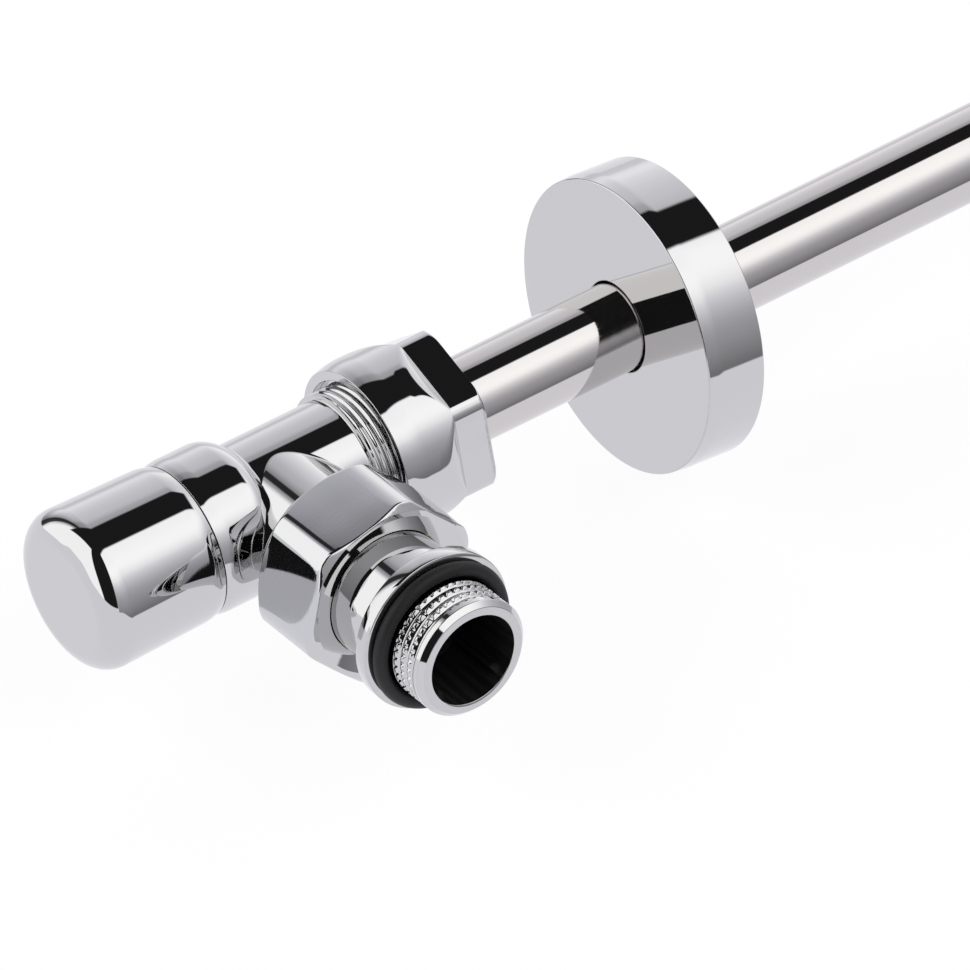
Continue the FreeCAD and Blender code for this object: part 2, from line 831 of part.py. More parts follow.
def make_compression_nut():
    body = new_body("compression_nut")
    mouth_end = nut_start + dim("mouth_depth")
    turn(body, "nut_blank", [
        (nut_start, nut_bore + dim("mouth_width")),
        (mouth_end, nut_bore + dim("mouth_width")),
        (mouth_end, nut_bore),
        (nut_shoulder, nut_bore),
        (nut_shoulder, pipe_radius + free),
        (nut_end, pipe_radius + free),
        (nut_end, nut_radius, dim("nut_end_round")),
        (nut_start, nut_radius, dim("nut_rim_break")),
    ])
    flat_start = nut_end - dim("nut_end_round") - dim("flat_length")
    pocket_pattern(body, "nut_flats", [
        (flat_start - dim("ramp_length"), nut_radius),
        (flat_start, nut_flat),
        (nut_end, nut_flat),
        (nut_end, nut_radius + overshoot),
        (flat_start - dim("ramp_length"), nut_radius + overshoot),
    ], 6, nut_radius * 2.0)
    place(body, along_x, dim("compression_nut_twist").number)


def make_compression_rings():
    thrust = turned_ring("thrust_ring", olive_end, nut_shoulder, pipe_radius + running,
                         nut_bore - free)
    place(thrust)
    olive = new_body("olive")
    olive_radius = seal_seat_radius + dim("olive_shoulder")
    turn(olive, "olive_ring", [
        (outlet_end, pipe_radius),
        (olive_end, pipe_radius),
        (olive_end, olive_radius - dim("olive_edge")),
        (olive_end - dim("olive_edge"), olive_radius),
        (outlet_end, olive_radius),
    ])
    place(olive)
    seal = turned_ring("pipe_seal", seal_seat, outlet_end, pipe_radius, seal_seat_radius)
    place(seal)


def make_pipe():
    pipe_start = dim("pipe_stop") + dim("sleeve_rim")
    inner = pipe_radius - dim("pipe_wall")
    pipe_end = pipe_start + dim("pipe_length")
    pipe = turned_ring("pipe", pipe_start, pipe_end, inner, pipe_radius)

    # A shallow groove marks how far the free end goes into the fitting in the wall.
    mark_end = pipe_end - dim("pipe_grip")
    mark_start = mark_end - dim("pipe_mark_width")
    mark_radius = pipe_radius - dim("pipe_mark_depth")
    groove(pipe, "depth_mark", ring_outline(mark_start, mark_end, mark_radius, pipe_radius))
    place(pipe)
    sleeve = new_body("pipe_sleeve")
    bore = inner - dim("sleeve_wall")
    turn(sleeve, "sleeve_tube", [
        (dim("pipe_stop"), bore),
        (pipe_start + dim("sleeve_length"), bore),
        (pipe_start + dim("sleeve_length"), inner),
        (pipe_start, inner),
        (pipe_start, pipe_radius),
        (dim("pipe_stop"), pipe_radius),
    ])
    place(sleeve)


# ---------------------------------------------------------------------------------------------
# Wall rosette: a thin shell that sits a little crooked on a rubber grommet round the pipe
# ---------------------------------------------------------------------------------------------

def make_rosette():
    shell = new_body("rosette")
    grommet_radius = pipe_radius + running + dim("grommet_width")
    hub_inner = grommet_radius + dim("hub_ring_gap")
    sheet_back = dim("rosette_sheet")
    wall_inner = dim("rosette_radius") - dim("rosette_sheet")
    turn(shell, "rosette_shell", [
        (zero, pipe_radius + dim("rosette_hole_gap")),
        (sheet_back, pipe_radius + dim("rosette_hole_gap")),
        (sheet_back, hub_inner),
        (sheet_back + dim("hub_ring_length"), hub_inner),
        (sheet_back + dim("hub_ring_length"), hub_inner + dim("rosette_sheet")),
        (sheet_back, hub_inner + dim("rosette_sheet")),
        (sheet_back, wall_inner),
        (dim("rosette_depth"), wall_inner),
        (dim("rosette_depth"), dim("rosette_radius")),
        (zero, dim("rosette_radius"), dim("rosette_edge_round")),
    ])
    shell.Placement.Rotation = FreeCAD.Rotation(FreeCAD.Vector(0, 1, 0), 1.0)
    shell.setExpression("Placement.Rotation.Angle", "Dims.rosette_tilt * 1 deg")
    shell.setExpression("Placement.Base.x", "Dims.rosette_place")
    shell.setExpression("Placement.Base.y", cross_to_thread.formula)
    pieces.append(shell)
    grommet_start = dim("rosette_place") + dim("grommet_inset")
    grommet = turned_ring("rosette_grommet", grommet_start, grommet_start + dim("grommet_length"),
                          pipe_radius + running, grommet_radius)
    place(grommet)


make_valve_body()
make_headwork()
make_gland_nut()
make_spindle()
make_closing_disc()
make_handle()
make_tailpiece()
make_union_rings()
make_union_nut()
make_compression_nut()
make_compression_rings()
make_pipe()
make_rosette()

# ---------------------------------------------------------------------------------------------
# Check every piece, then write one STEP file for each
# ---------------------------------------------------------------------------------------------

doc.recompute()
for item in doc.Objects:
    assert "Invalid" not in item.State and "Error" not in item.State, item.Label + " did not build"

os.makedirs("parts", exist_ok=True)
for piece in pieces:
    shape = piece.Shape
    assert not shape.isNull() and shape.isValid() and len(shape.Solids) >= 1, piece.Label
    shape.exportStep("parts/" + piece.Label + ".step")
    print(piece.Label, round(shape.Volume, 1), [round(v, 2) for v in (
        shape.BoundBox.XMin, shape.BoundBox.XMax, shape.BoundBox.YMin,
        shape.BoundBox.YMax, shape.BoundBox.ZMin, shape.BoundBox.ZMax)])
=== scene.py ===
import bpy
import numpy as np
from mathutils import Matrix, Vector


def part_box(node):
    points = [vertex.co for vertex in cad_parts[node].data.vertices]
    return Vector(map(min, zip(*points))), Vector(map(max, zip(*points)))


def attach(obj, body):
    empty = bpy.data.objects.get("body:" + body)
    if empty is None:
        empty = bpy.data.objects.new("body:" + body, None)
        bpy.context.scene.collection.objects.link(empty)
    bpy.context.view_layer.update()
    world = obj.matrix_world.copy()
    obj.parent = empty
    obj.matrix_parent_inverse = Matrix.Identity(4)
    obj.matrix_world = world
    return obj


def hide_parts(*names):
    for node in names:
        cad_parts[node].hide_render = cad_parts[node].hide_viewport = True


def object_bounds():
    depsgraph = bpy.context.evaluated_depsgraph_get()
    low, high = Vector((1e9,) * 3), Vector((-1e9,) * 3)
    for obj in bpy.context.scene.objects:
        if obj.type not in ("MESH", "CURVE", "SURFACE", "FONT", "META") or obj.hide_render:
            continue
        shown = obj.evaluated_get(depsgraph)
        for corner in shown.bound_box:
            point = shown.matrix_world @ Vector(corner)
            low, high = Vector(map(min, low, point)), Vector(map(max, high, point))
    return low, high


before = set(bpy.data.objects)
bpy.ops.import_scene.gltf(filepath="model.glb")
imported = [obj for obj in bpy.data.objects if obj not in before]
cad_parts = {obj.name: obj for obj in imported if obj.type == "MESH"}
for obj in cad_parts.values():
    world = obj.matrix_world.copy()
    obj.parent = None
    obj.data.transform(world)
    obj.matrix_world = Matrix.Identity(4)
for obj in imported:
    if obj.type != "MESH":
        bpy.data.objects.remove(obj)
cad_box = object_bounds()

# ---------------------------------------------------------------------------------------------
# Handle cap. A thin brass cup with a domed shoulder, turned and polished, then chromed. It is
# clipped over the plastic hub and stops just short of the valve body's bell.
# ---------------------------------------------------------------------------------------------

MM = 0.001
# Every length is counted from the point where the tail's axis crosses the pipe's axis.
tail_middle = np.mean(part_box("tailpiece"), axis=0)
pipe_middle = np.mean(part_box("pipe"), axis=0)
CROSSING = np.round(np.array([tail_middle[0], pipe_middle[1], pipe_middle[2]]), 6)


def along_main(name):
    """Where a CAD node starts and ends along the pipe's axis, in mm from the crossing."""
    return [round(float(corner[0] - CROSSING[0]) / MM, 3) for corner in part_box(name)]


def along_tail(name):
    """Where a CAD node starts and ends along the tail's axis, in mm from the crossing."""
    return sorted(round(float(CROSSING[1] - corner[1]) / MM, 3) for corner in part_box(name))


def rounded_outline(corners, arc_steps=10):
    """Corners (along, radius, round) joined by straight lines, each turned on a tangent arc.

    An arc of radius q starts q / tan(half the corner's angle) before the corner, and its centre
    lies q / sin(half the angle) along the corner's bisector. The solid is on the left, so the
    outward normal of a line with direction (u, v) is (v, -u). Wear peaks half way round an arc.
    """
    rows = []
    count = len(corners)
    for k, (along, radius, turn) in enumerate(corners):
        here = np.array([along, radius])
        back = np.array(corners[k - 1][:2]) - here
        ahead = np.array(corners[(k + 1) % count][:2]) - here
        back, ahead = back / np.linalg.norm(back), ahead / np.linalg.norm(ahead)
        half = 0.5 * np.arccos(np.clip(back @ ahead, -1.0, 1.0))
        middle = (back + ahead) / np.linalg.norm(back + ahead)
        centre = here + middle * turn / np.sin(half)
        side = 1.0 if back[0] * ahead[1] - back[1] * ahead[0] < 0.0 else -1.0
        normal_in = np.array([-back[1], back[0]])
        normal_out = np.array([ahead[1], -ahead[0]])
        share = np.linspace(0.0, 1.0, arc_steps)[:, None]
        sweep = np.arccos(np.clip(normal_in @ normal_out, -1.0, 1.0))
        normals = (np.sin((1.0 - share) * sweep) * normal_in + np.sin(share * sweep) * normal_out)
        normals /= np.linalg.norm(normals, axis=1)[:, None]
        points = centre + side * turn * normals
        wear = np.sin(np.pi * share) if side > 0.0 and turn < 1.0 else 0.0 * share
        rows.append(np.hstack([points, normals, wear]))
    return np.vstack(rows)


def divide(outline, longest):
    """Cuts the outline's straight runs into even steps no longer than the given length."""
    rows = []
    for k, row in enumerate(outline):
        ahead = outline[(k + 1) % len(outline)]
        steps = max(1, int(np.ceil(np.hypot(*(ahead[:2] - row[:2])) / longest)))
        share = np.linspace(0.0, 1.0, steps, endpoint=False)[:, None]
        rows.append(row * (1.0 - share) + ahead * share)
    return np.vstack(rows)


MAIN_AXIS = (CROSSING, np.array([[1.0, 0, 0], [0, 1.0, 0], [0, 0, 1.0]]))
TAIL_AXIS = (CROSSING, np.array([[0, -1.0, 0], [1.0, 0, 0], [0, 0, 1.0]]))


def turned_grid(outline, around):
    """The angle, and the outline's five columns, as grids of every row at every angle."""
    grids = [np.repeat(column[:, None], len(around), axis=1) for column in outline.T]
    angle = np.repeat(around[None, :], len(outline), axis=0)
    return angle, grids


def placed(axis, along, radius, angle):
    """The point at a distance along the axis and a radius from it, turned from across to up."""
    base, (run, across, up) = axis
    return (base + MM * (along[..., None] * run + (radius * np.cos(angle))[..., None] * across
                         + (radius * np.sin(angle))[..., None] * up))


def turned_normal(axis, along_part, radial_part, angle, round_part=0.0):
    """The normal with parts along the axis, away from it and round it, made one unit long."""
    run, across, up = axis[1]
    cos, sin = np.cos(angle), np.sin(angle)
    normal = (along_part[..., None] * run
              + (radial_part * cos - round_part * sin)[..., None] * across
              + (radial_part * sin + round_part * cos)[..., None] * up)
    return normal / np.maximum(np.linalg.norm(normal, axis=-1), 1e-9)[..., None]


def ring_faces(rows, columns, closed=True):
    """The quads of a grid that closes on itself round the axis, and along the outline if asked."""
    i, j = np.meshgrid(np.arange(rows if closed else rows - 1), np.arange(columns), indexing="ij")
    down, right = (i + 1) % rows, (j + 1) % columns
    quads = np.stack([i * columns + j, down * columns + j,
                      down * columns + right, i * columns + right], axis=-1)
    return quads.reshape(-1, 4)


def pole_faces(row_start, columns, pole, reverse):
    """Triangles from one ring of points to a point on the axis."""
    j = np.arange(columns)
    edge = [row_start + (j + 1) % columns, row_start + j]
    if reverse:
        edge = edge[::-1]
    return np.stack([np.full(columns, pole)] + edge, axis=-1)


def make_piece(name, points, normals, faces, marks, material):
    """One mesh object from points, their normals, faces and named numbers at each point."""
    mesh = bpy.data.meshes.new(name)
    corners = np.concatenate([block.ravel() for block in faces])
    sizes = np.concatenate([np.full(len(block), block.shape[1]) for block in faces])
    mesh.vertices.add(len(points))
    mesh.vertices.foreach_set("co", np.ascontiguousarray(points, dtype=np.float32).ravel())
    mesh.loops.add(len(corners))
    mesh.loops.foreach_set("vertex_index", corners.astype(np.int32))
    mesh.polygons.add(len(sizes))
    mesh.polygons.foreach_set("loop_start", (np.cumsum(sizes) - sizes).astype(np.int32))
    mesh.update(calc_edges=True)
    mesh.polygons.foreach_set("use_smooth", np.ones(len(sizes), dtype=bool))
    for mark, values in marks.items():
        layer = mesh.attributes.new(mark, "FLOAT", "POINT")
        layer.data.foreach_set("value", np.ascontiguousarray(values, dtype=np.float32))
    mesh.normals_split_custom_set_from_vertices(normals.astype(np.float32).tolist())
    mesh.materials.append(material)
    piece = bpy.data.objects.new(name, mesh)
    bpy.context.scene.collection.objects.link(piece)
    return piece


def turned_shell(axis, outline, steps=288):
    """A closed outline turned about an axis: its points, normals, faces and wear."""
    around = np.linspace(0.0, 2.0 * np.pi, steps, endpoint=False)
    angle, (along, radius, part_along, part_out, wear) = turned_grid(outline, around)
    return (placed(axis, along, radius, angle).reshape(-1, 3),
            turned_normal(axis, part_along, part_out, angle).reshape(-1, 3),
            [ring_faces(len(outline), steps)], wear.ravel())


def node(tree, kind, inputs=None, **settings):
    """A shader node with its settings, and its inputs given as sockets or plain values."""
    made = tree.nodes.new("ShaderNode" + kind)
    for name, value in settings.items():
        setattr(made, name, value)
    for key, value in (inputs or {}).items():
        if isinstance(value, bpy.types.NodeSocket):
            tree.links.new(value, made.inputs[key])
        else:
            made.inputs[key].default_value = value
    return made


def new_finish(name):
    """A material with its node tree, its shader and the piece's own coordinates."""
    material = bpy.data.materials.new(name)
    material.use_nodes = True
    tree = material.node_tree
    return material, tree, tree.nodes["Principled BSDF"], node(tree, "TexCoord").outputs["Object"]


def finished(tree, shader, tint, rough, bump, metallic=1.0):
    """Joins a colour, a roughness and a bump to the shader and sets how far it is metal."""
    tree.links.new(tint, shader.inputs["Base Color"])
    tree.links.new(rough, shader.inputs["Roughness"])
    tree.links.new(bump, shader.inputs["Normal"])
    shader.inputs["Metallic"].default_value = metallic


def bright_chrome_finish():
    """Bright chrome: a mirror with a faint polishing ripple, wipe marks and rubbed edges.

    Roughness follows broad clouds and fine stretched streaks, and rises where wear is marked.
    """
    material, tree, shader, place = new_finish("bright_chrome")
    clouds = node(tree, "TexNoise", {"Vector": place, "Scale": 90.0, "Detail": 3.0})
    stretched = node(tree, "Mapping", {"Vector": place, "Scale": (400.0, 400.0, 2600.0)})
    streaks = node(tree, "TexNoise", {"Vector": stretched.outputs[0], "Scale": 1.0, "Detail": 2.0})
    wear = node(tree, "Attribute", attribute_name="wear")
    grain = node(tree, "TexNoise", {"Vector": place, "Scale": 1500.0, "Detail": 2.0})
    rubbed = node(tree, "Math", {0: wear.outputs["Fac"], 1: grain.outputs["Fac"]},
                  operation="MULTIPLY")
    mixed = node(tree, "Math", {0: clouds.outputs["Fac"], 1: streaks.outputs["Fac"]},
                 operation="MULTIPLY")
    rough = node(tree, "MapRange", {"Value": mixed.outputs[0], "From Min": 0.16, "From Max": 0.36,
                                    "To Min": 0.008, "To Max": 0.032})
    rough = node(tree, "Math", {0: rubbed.outputs[0], 1: 0.12, 2: rough.outputs[0]},
                 operation="MULTIPLY_ADD")
    tint = node(tree, "Mix", {"Factor": rubbed.outputs[0], "A": (0.60, 0.60, 0.60, 1.0),
                              "B": (0.492, 0.492, 0.492, 1.0)}, data_type="RGBA")
    wave = node(tree, "TexNoise", {"Vector": place, "Scale": 160.0, "Detail": 1.0})
    bump = node(tree, "Bump", {"Height": wave.outputs["Fac"], "Strength": 0.014,
                               "Distance": 0.0004})
    finished(tree, shader, tint.outputs["Result"], rough.outputs[0], bump.outputs[0])
    return material


CHROME = bright_chrome_finish()

CAP_FRONT = along_main("handle_cap")[0]
CAP_FACE_BACK, CAP_BACK = CAP_FRONT + 1.6, along_main("valve_body")[0] - 0.2
CAP_FRONT_RADIUS, CAP_BACK_RADIUS, CAP_INNER = 14.1, 13.5, 12.0
CAP_SHOULDER, CAP_STEPS = 4.5, 288

cap_outline = rounded_outline([
    (CAP_BACK, CAP_INNER, 0.15),
    (CAP_BACK, CAP_BACK_RADIUS - 0.42, 0.08),
    (CAP_BACK - 1.6, CAP_BACK_RADIUS + 0.04, 8.0),
    (CAP_FRONT, CAP_FRONT_RADIUS, CAP_SHOULDER),
    (CAP_FRONT, 0.0, 0.01),
    (CAP_FACE_BACK, 0.0, 0.01),
    (CAP_FACE_BACK, CAP_INNER, 0.3),
], 14)
# The two arcs on the axis give way to one point each, and the rest is turned between them.
on_axis = cap_outline[:, 1] < 0.02
cap_open = np.roll(cap_outline, -np.flatnonzero(on_axis)[-1] - 1, axis=0)[:-on_axis.sum()]
cap_angle = np.linspace(0.0, 2.0 * np.pi, CAP_STEPS, endpoint=False)
angle, (along, radius, part_along, part_out, wear) = turned_grid(cap_open, cap_angle)
poles = CROSSING + MM * np.array([[CAP_FRONT, 0, 0], [CAP_FACE_BACK, 0, 0]])
cap_points = np.vstack([placed(MAIN_AXIS, along, radius, angle).reshape(-1, 3), poles])
cap_normals = np.vstack([turned_normal(MAIN_AXIS, part_along, part_out, angle).reshape(-1, 3),
                         [[-1.0, 0, 0], [1.0, 0, 0]]])
last_ring = (len(cap_open) - 1) * CAP_STEPS
handle_cap = make_piece(
    "handle_cap_shell", cap_points, cap_normals,
    [ring_faces(len(cap_open), CAP_STEPS, closed=False),
     pole_faces(last_ring, CAP_STEPS, len(cap_open) * CAP_STEPS, False),
     pole_faces(0, CAP_STEPS, len(cap_open) * CAP_STEPS + 1, True)],
    {"wear": np.append(wear.ravel(), [0.0, 0.0])}, CHROME)
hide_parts("handle_cap")
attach(handle_cap, "handle")

# ---------------------------------------------------------------------------------------------
# Valve body. A forged brass tee, turned, polished and chromed: the bell that takes the
# headwork, the plain barrel with the pipe's threaded outlet, and the branch for the union.
# ---------------------------------------------------------------------------------------------

ARC_ROWS = 10
BELL_FACE, OUTLET_END = along_main("valve_body")
BELL_STRAIGHT_END, BELL_RADIUS, BELL_ROUND = BELL_FACE + 8.0, 13.5, 5.0
BARREL_RADIUS, BARREL_END = 11.1, 13.8
OUTLET_RADIUS, OUTLET_PITCH, OUTLET_DEPTH = 12.0, 1.35, 0.42
STUB_END = along_tail("valve_body")[1]
STUB_RADIUS, STUB_THREAD_START, STUB_THREAD_RADIUS = 10.6, 17.4, 13.2205
BELL_FILLET, BRANCH_FILLET = 0.8, 1.3
HEADWORK_BORE, HEADWORK_BORE_END, CHAMBER_RADIUS, CHAMBER_END = 10.05, -9.2, 8.6, 4.5
SEAT_RADIUS, SEAT_END, BORE_RADIUS = 6.0, 12.0, 7.6
SOCKET_RADIUS, SOCKET_START = 9.6, 24.0
BODY_STEPS, BRANCH_STEPS, BALL_STEPS, FILLET_ROWS, FILLET_ROOT = 216, 240, 256, 12, 2.4


def arc_rows(centre, radius, start, end, steps, outward=1.0):
    """Points on an arc from one angle to another, with normals away from or to its centre."""
    turn = np.radians(np.linspace(start, end, steps))
    normals = np.stack([np.cos(turn), np.sin(turn)], axis=1)
    return np.hstack([np.array(centre) + radius * normals, outward * normals,
                      np.zeros((steps, 1))])


# The bell's quarter round runs down into a small fillet that is tangent to it and the barrel.
rise = BARREL_RADIUS + BELL_FILLET - (BELL_RADIUS - BELL_ROUND)
reach = np.sqrt((BELL_ROUND + BELL_FILLET) ** 2 - rise ** 2)
meeting = np.degrees(np.arctan2(rise, reach))
bell_flank = np.vstack([
    arc_rows((BELL_STRAIGHT_END + reach, BARREL_RADIUS + BELL_FILLET), BELL_FILLET,
             270.0, 180.0 + meeting, 8, -1.0),
    arc_rows((BELL_STRAIGHT_END, BELL_RADIUS - BELL_ROUND), BELL_ROUND, meeting, 90.0, 24)[1:],
])
# The second and third corners only stand in for the flank, which takes the place of their arcs.
shell_corners = rounded_outline([
    (BARREL_END, BARREL_RADIUS, 0.25),
    (-3.0, BARREL_RADIUS, 0.01),
    (BELL_STRAIGHT_END, BELL_RADIUS, 0.01),
    (BELL_FACE + 1.7, BELL_RADIUS, 8.0),
    (BELL_FACE, BELL_RADIUS - 0.45, 0.08),
    (BELL_FACE, HEADWORK_BORE, 0.2),
    (HEADWORK_BORE_END, HEADWORK_BORE, 0.1),
    (HEADWORK_BORE_END, CHAMBER_RADIUS, 0.1),
    (CHAMBER_END, CHAMBER_RADIUS, 0.1),
    (CHAMBER_END, SEAT_RADIUS, 0.3),
    (SEAT_END, SEAT_RADIUS, 0.2),
    (SEAT_END, BORE_RADIUS, 0.1),
    (SOCKET_START, BORE_RADIUS, 0.1),
    (SOCKET_START, SOCKET_RADIUS, 0.1),
    (OUTLET_END, SOCKET_RADIUS, 0.15),
    (OUTLET_END, OUTLET_RADIUS, 0.3),
    (BARREL_END, OUTLET_RADIUS, 0.15),
], ARC_ROWS)
fine = divide(np.vstack([shell_corners[:ARC_ROWS], bell_flank, shell_corners[3 * ARC_ROWS:]]),
              0.125)
# The thread keeps every fine row and the arcs keep theirs, but straight runs keep one in twelve.
on_thread = (fine[:, 0] > BARREL_END) & (fine[:, 1] > 10.0)
on_arc = np.abs(fine[:, 2] * fine[:, 3]) > 0.01
shell_rows = fine[on_thread | on_arc | (np.arange(len(fine)) % 12 == 0)]


def fade(values, start, end):
    """0 before start and 1 after end, with a smooth change between them."""
    share = np.clip((values - start) / (end - start), 0.0, 1.0)
    return share * share * (3.0 - 2.0 * share)


def screw_thread(along, angle, pitch):
    """0 in the root and 1 on the crest of a right-hand thread with rounded roots and crests."""
    phase = (along / pitch - angle / (2.0 * np.pi)) % 1.0
    ramp = 1.0 - np.abs(2.0 * phase - 1.0)
    return fade(ramp, 0.10, 0.85)


def grid_normals(points, fallback):
    """Normals across both directions of a grid that closes on itself each way."""
    down = np.roll(points, -1, axis=0) - np.roll(points, 1, axis=0)
    right = np.roll(points, -1, axis=1) - np.roll(points, 1, axis=1)
    normal = np.cross(down, right)
    length = np.linalg.norm(normal, axis=-1)[..., None]
    return np.where(length > 1e-13, normal / np.maximum(length, 1e-13), fallback)


around = np.linspace(0.0, 2.0 * np.pi, BODY_STEPS, endpoint=False)
angle, (along, radius, part_along, part_out, wear) = turned_grid(shell_rows, around)
threaded = (along > BARREL_END + 0.02) & (radius > OUTLET_RADIUS - 0.4)
cut = (1.0 - screw_thread(along, angle, OUTLET_PITCH)) * fade(along, BARREL_END, BARREL_END + 0.5)
radius = np.where(threaded, radius - OUTLET_DEPTH * cut, radius)
shell_points = placed(MAIN_AXIS, along, radius, angle)
plain = turned_normal(MAIN_AXIS, part_along, part_out, angle)
shell_normals = np.where(threaded[..., None], grid_normals(shell_points, plain), plain)
shell_faces = ring_faces(len(shell_rows), BODY_STEPS)

branch_rows = rounded_outline([
    (STUB_END, 10.0, 0.2),
    (STUB_END, STUB_THREAD_RADIUS, 0.5),
    (STUB_THREAD_START, STUB_THREAD_RADIUS, 0.5),
    (STUB_THREAD_START, STUB_RADIUS, 0.15),
    (2.0, STUB_RADIUS, 0.1),
    (2.0, BORE_RADIUS, 0.1),
    (23.0, BORE_RADIUS, 0.2),
])
branch_points, branch_normals, branch_faces, branch_wear = turned_shell(
    TAIL_AXIS, branch_rows, BRANCH_STEPS)

# The fillet between branch and barrel is rolled by a ball that touches both. Its centre runs on
# ((R2 + q) cos, -sqrt((R1 + q)^2 - z^2), (R2 + q) sin), and the arc joins its two contacts.
# One more row, buried in the metal, closes the fillet into a ring.
ball = np.linspace(0.0, 2.0 * np.pi, BALL_STEPS, endpoint=False)
centre = np.stack([(STUB_RADIUS + BRANCH_FILLET) * np.cos(ball), 0.0 * ball,
                   (STUB_RADIUS + BRANCH_FILLET) * np.sin(ball)], axis=1)
centre[:, 1] = -np.sqrt((BARREL_RADIUS + BRANCH_FILLET) ** 2 - centre[:, 2] ** 2)
on_branch = -np.stack([np.cos(ball), 0.0 * ball, np.sin(ball)], axis=1)
on_barrel = -centre * np.array([0.0, 1.0, 1.0]) / (BARREL_RADIUS + BRANCH_FILLET)
sweep = np.arccos(np.clip(np.sum(on_branch * on_barrel, axis=1), -1.0, 1.0))[:, None]
share = np.linspace(0.0, 1.0, FILLET_ROWS)[:, None, None]
spoke = (np.sin((1.0 - share) * sweep) * on_branch + np.sin(share * sweep) * on_barrel)
spoke /= np.linalg.norm(spoke, axis=-1)[..., None]
middle_spoke = spoke[FILLET_ROWS // 2]
buried = centre + FILLET_ROOT * middle_spoke
fillet_points = CROSSING + MM * np.concatenate([centre + BRANCH_FILLET * spoke, buried[None]])
fillet_normals = np.concatenate([-spoke, middle_spoke[None]])
fillet_faces = ring_faces(FILLET_ROWS + 1, BALL_STEPS)

blocks = [(shell_points.reshape(-1, 3), shell_normals.reshape(-1, 3), shell_faces, wear.ravel()),
          (branch_points, branch_normals, branch_faces[0], branch_wear),
          (fillet_points.reshape(-1, 3), fillet_normals.reshape(-1, 3), fillet_faces,
           np.zeros((FILLET_ROWS + 1) * BALL_STEPS))]
starts = np.cumsum([0] + [len(block[0]) for block in blocks])
valve_body = make_piece(
    "valve_body_shell", np.vstack([block[0] for block in blocks]),
    np.vstack([block[1] for block in blocks]),
    [block[2] + start for block, start in zip(blocks, starts)],
    {"wear": np.concatenate([block[3] for block in blocks])}, CHROME)
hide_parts("valve_body")
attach(valve_body, "valve")

# ---------------------------------------------------------------------------------------------
# Union nut. Hexagon brass bar, drilled and threaded, its corners turned back at both ends and
# its mouth dished. Grinding leaves the flats very slightly crowned under their chrome.
# ---------------------------------------------------------------------------------------------

UNION_START, UNION_END = along_tail("union_nut")
UNION_FLAT, UNION_CORNER, UNION_FLAT_EDGE = 15.0, 16.571, 25.15
UNION_BORE, UNION_SHOULDER, UNION_HOLE = 13.2705, 30.2, 11.12
UNION_DISH, UNION_DISH_RADIUS, UNION_FACE_RADIUS = 1.0, 14.15, 15.15
UNION_FRONT_CUT, UNION_BACK_CUT = 0.8, 1.3
UNION_TWIST = np.radians(90.0 + 13.9)
UNION_CROWN = np.radians(4.0)


def softer_minimum(first, second, blend):
    """The smaller of two numbers, eased over a blend width, and the first one's share in it."""
    share = np.clip(0.5 + 0.5 * (second - first) / blend, 0.0, 1.0)
    return second + (first - second) * share - blend * share * (1.0 - share), share


def flats_angles(edge, flat_steps, edge_steps, strip=1.2):
    """Angles round six flats, in radians, with the middle of a flat at 0.

    Each flat is cut into even steps, with smaller steps in a strip along each of its edges.
    """
    one = np.concatenate([
        np.linspace(-30.0, -edge - strip, edge_steps, endpoint=False),
        np.linspace(-edge - strip, -edge + strip, edge_steps, endpoint=False),
        np.linspace(-edge + strip, edge - strip, flat_steps, endpoint=False),
        np.linspace(edge - strip, edge + strip, edge_steps, endpoint=False),
        np.linspace(edge + strip, 30.0, edge_steps, endpoint=False)])
    return np.radians((one[None, :] + 60.0 * np.arange(6)[:, None]).ravel())


def off_middle(angle):
    """How far each angle is from the middle of its flat, of six flats, from -30 to 30 degrees."""
    return (angle + np.radians(30.0)) % np.radians(60.0) - np.radians(30.0)


def ground_chrome_finish():
    """Chrome over ground flats: fine grinding lines and a cooler tint there, bright elsewhere."""
    material, tree, shader, place = new_finish("ground_chrome")
    flat = node(tree, "Attribute", attribute_name="flat").outputs["Fac"]
    stretched = node(tree, "Mapping", {"Vector": place, "Scale": (300.0, 2600.0, 300.0)})
    lines = node(tree, "TexNoise", {"Vector": stretched.outputs[0], "Scale": 1.0, "Detail": 3.0})
    clouds = node(tree, "TexNoise", {"Vector": place, "Scale": 120.0, "Detail": 2.0})
    soft = node(tree, "MapRange", {"Value": lines.outputs["Fac"], "From Min": 0.3,
                                   "From Max": 0.7, "To Min": 0.03, "To Max": 0.07})
    rough = node(tree, "Mix", {"Factor": flat, "A": 0.02, "B": soft.outputs[0]})
    tint = node(tree, "Mix", {"Factor": flat, "A": (0.60, 0.60, 0.60, 1.0),
                              "B": (0.585, 0.59, 0.61, 1.0)}, data_type="RGBA")
    height = node(tree, "Math", {0: clouds.outputs["Fac"], 1: 0.5, 2: lines.outputs["Fac"]},
                  operation="MULTIPLY_ADD")
    bump = node(tree, "Bump", {"Height": height.outputs[0], "Strength": 0.02,
                               "Distance": 0.0002})
    finished(tree, shader, tint.outputs["Result"], rough.outputs["Result"], bump.outputs[0])
    return material


GROUND_CHROME = ground_chrome_finish()

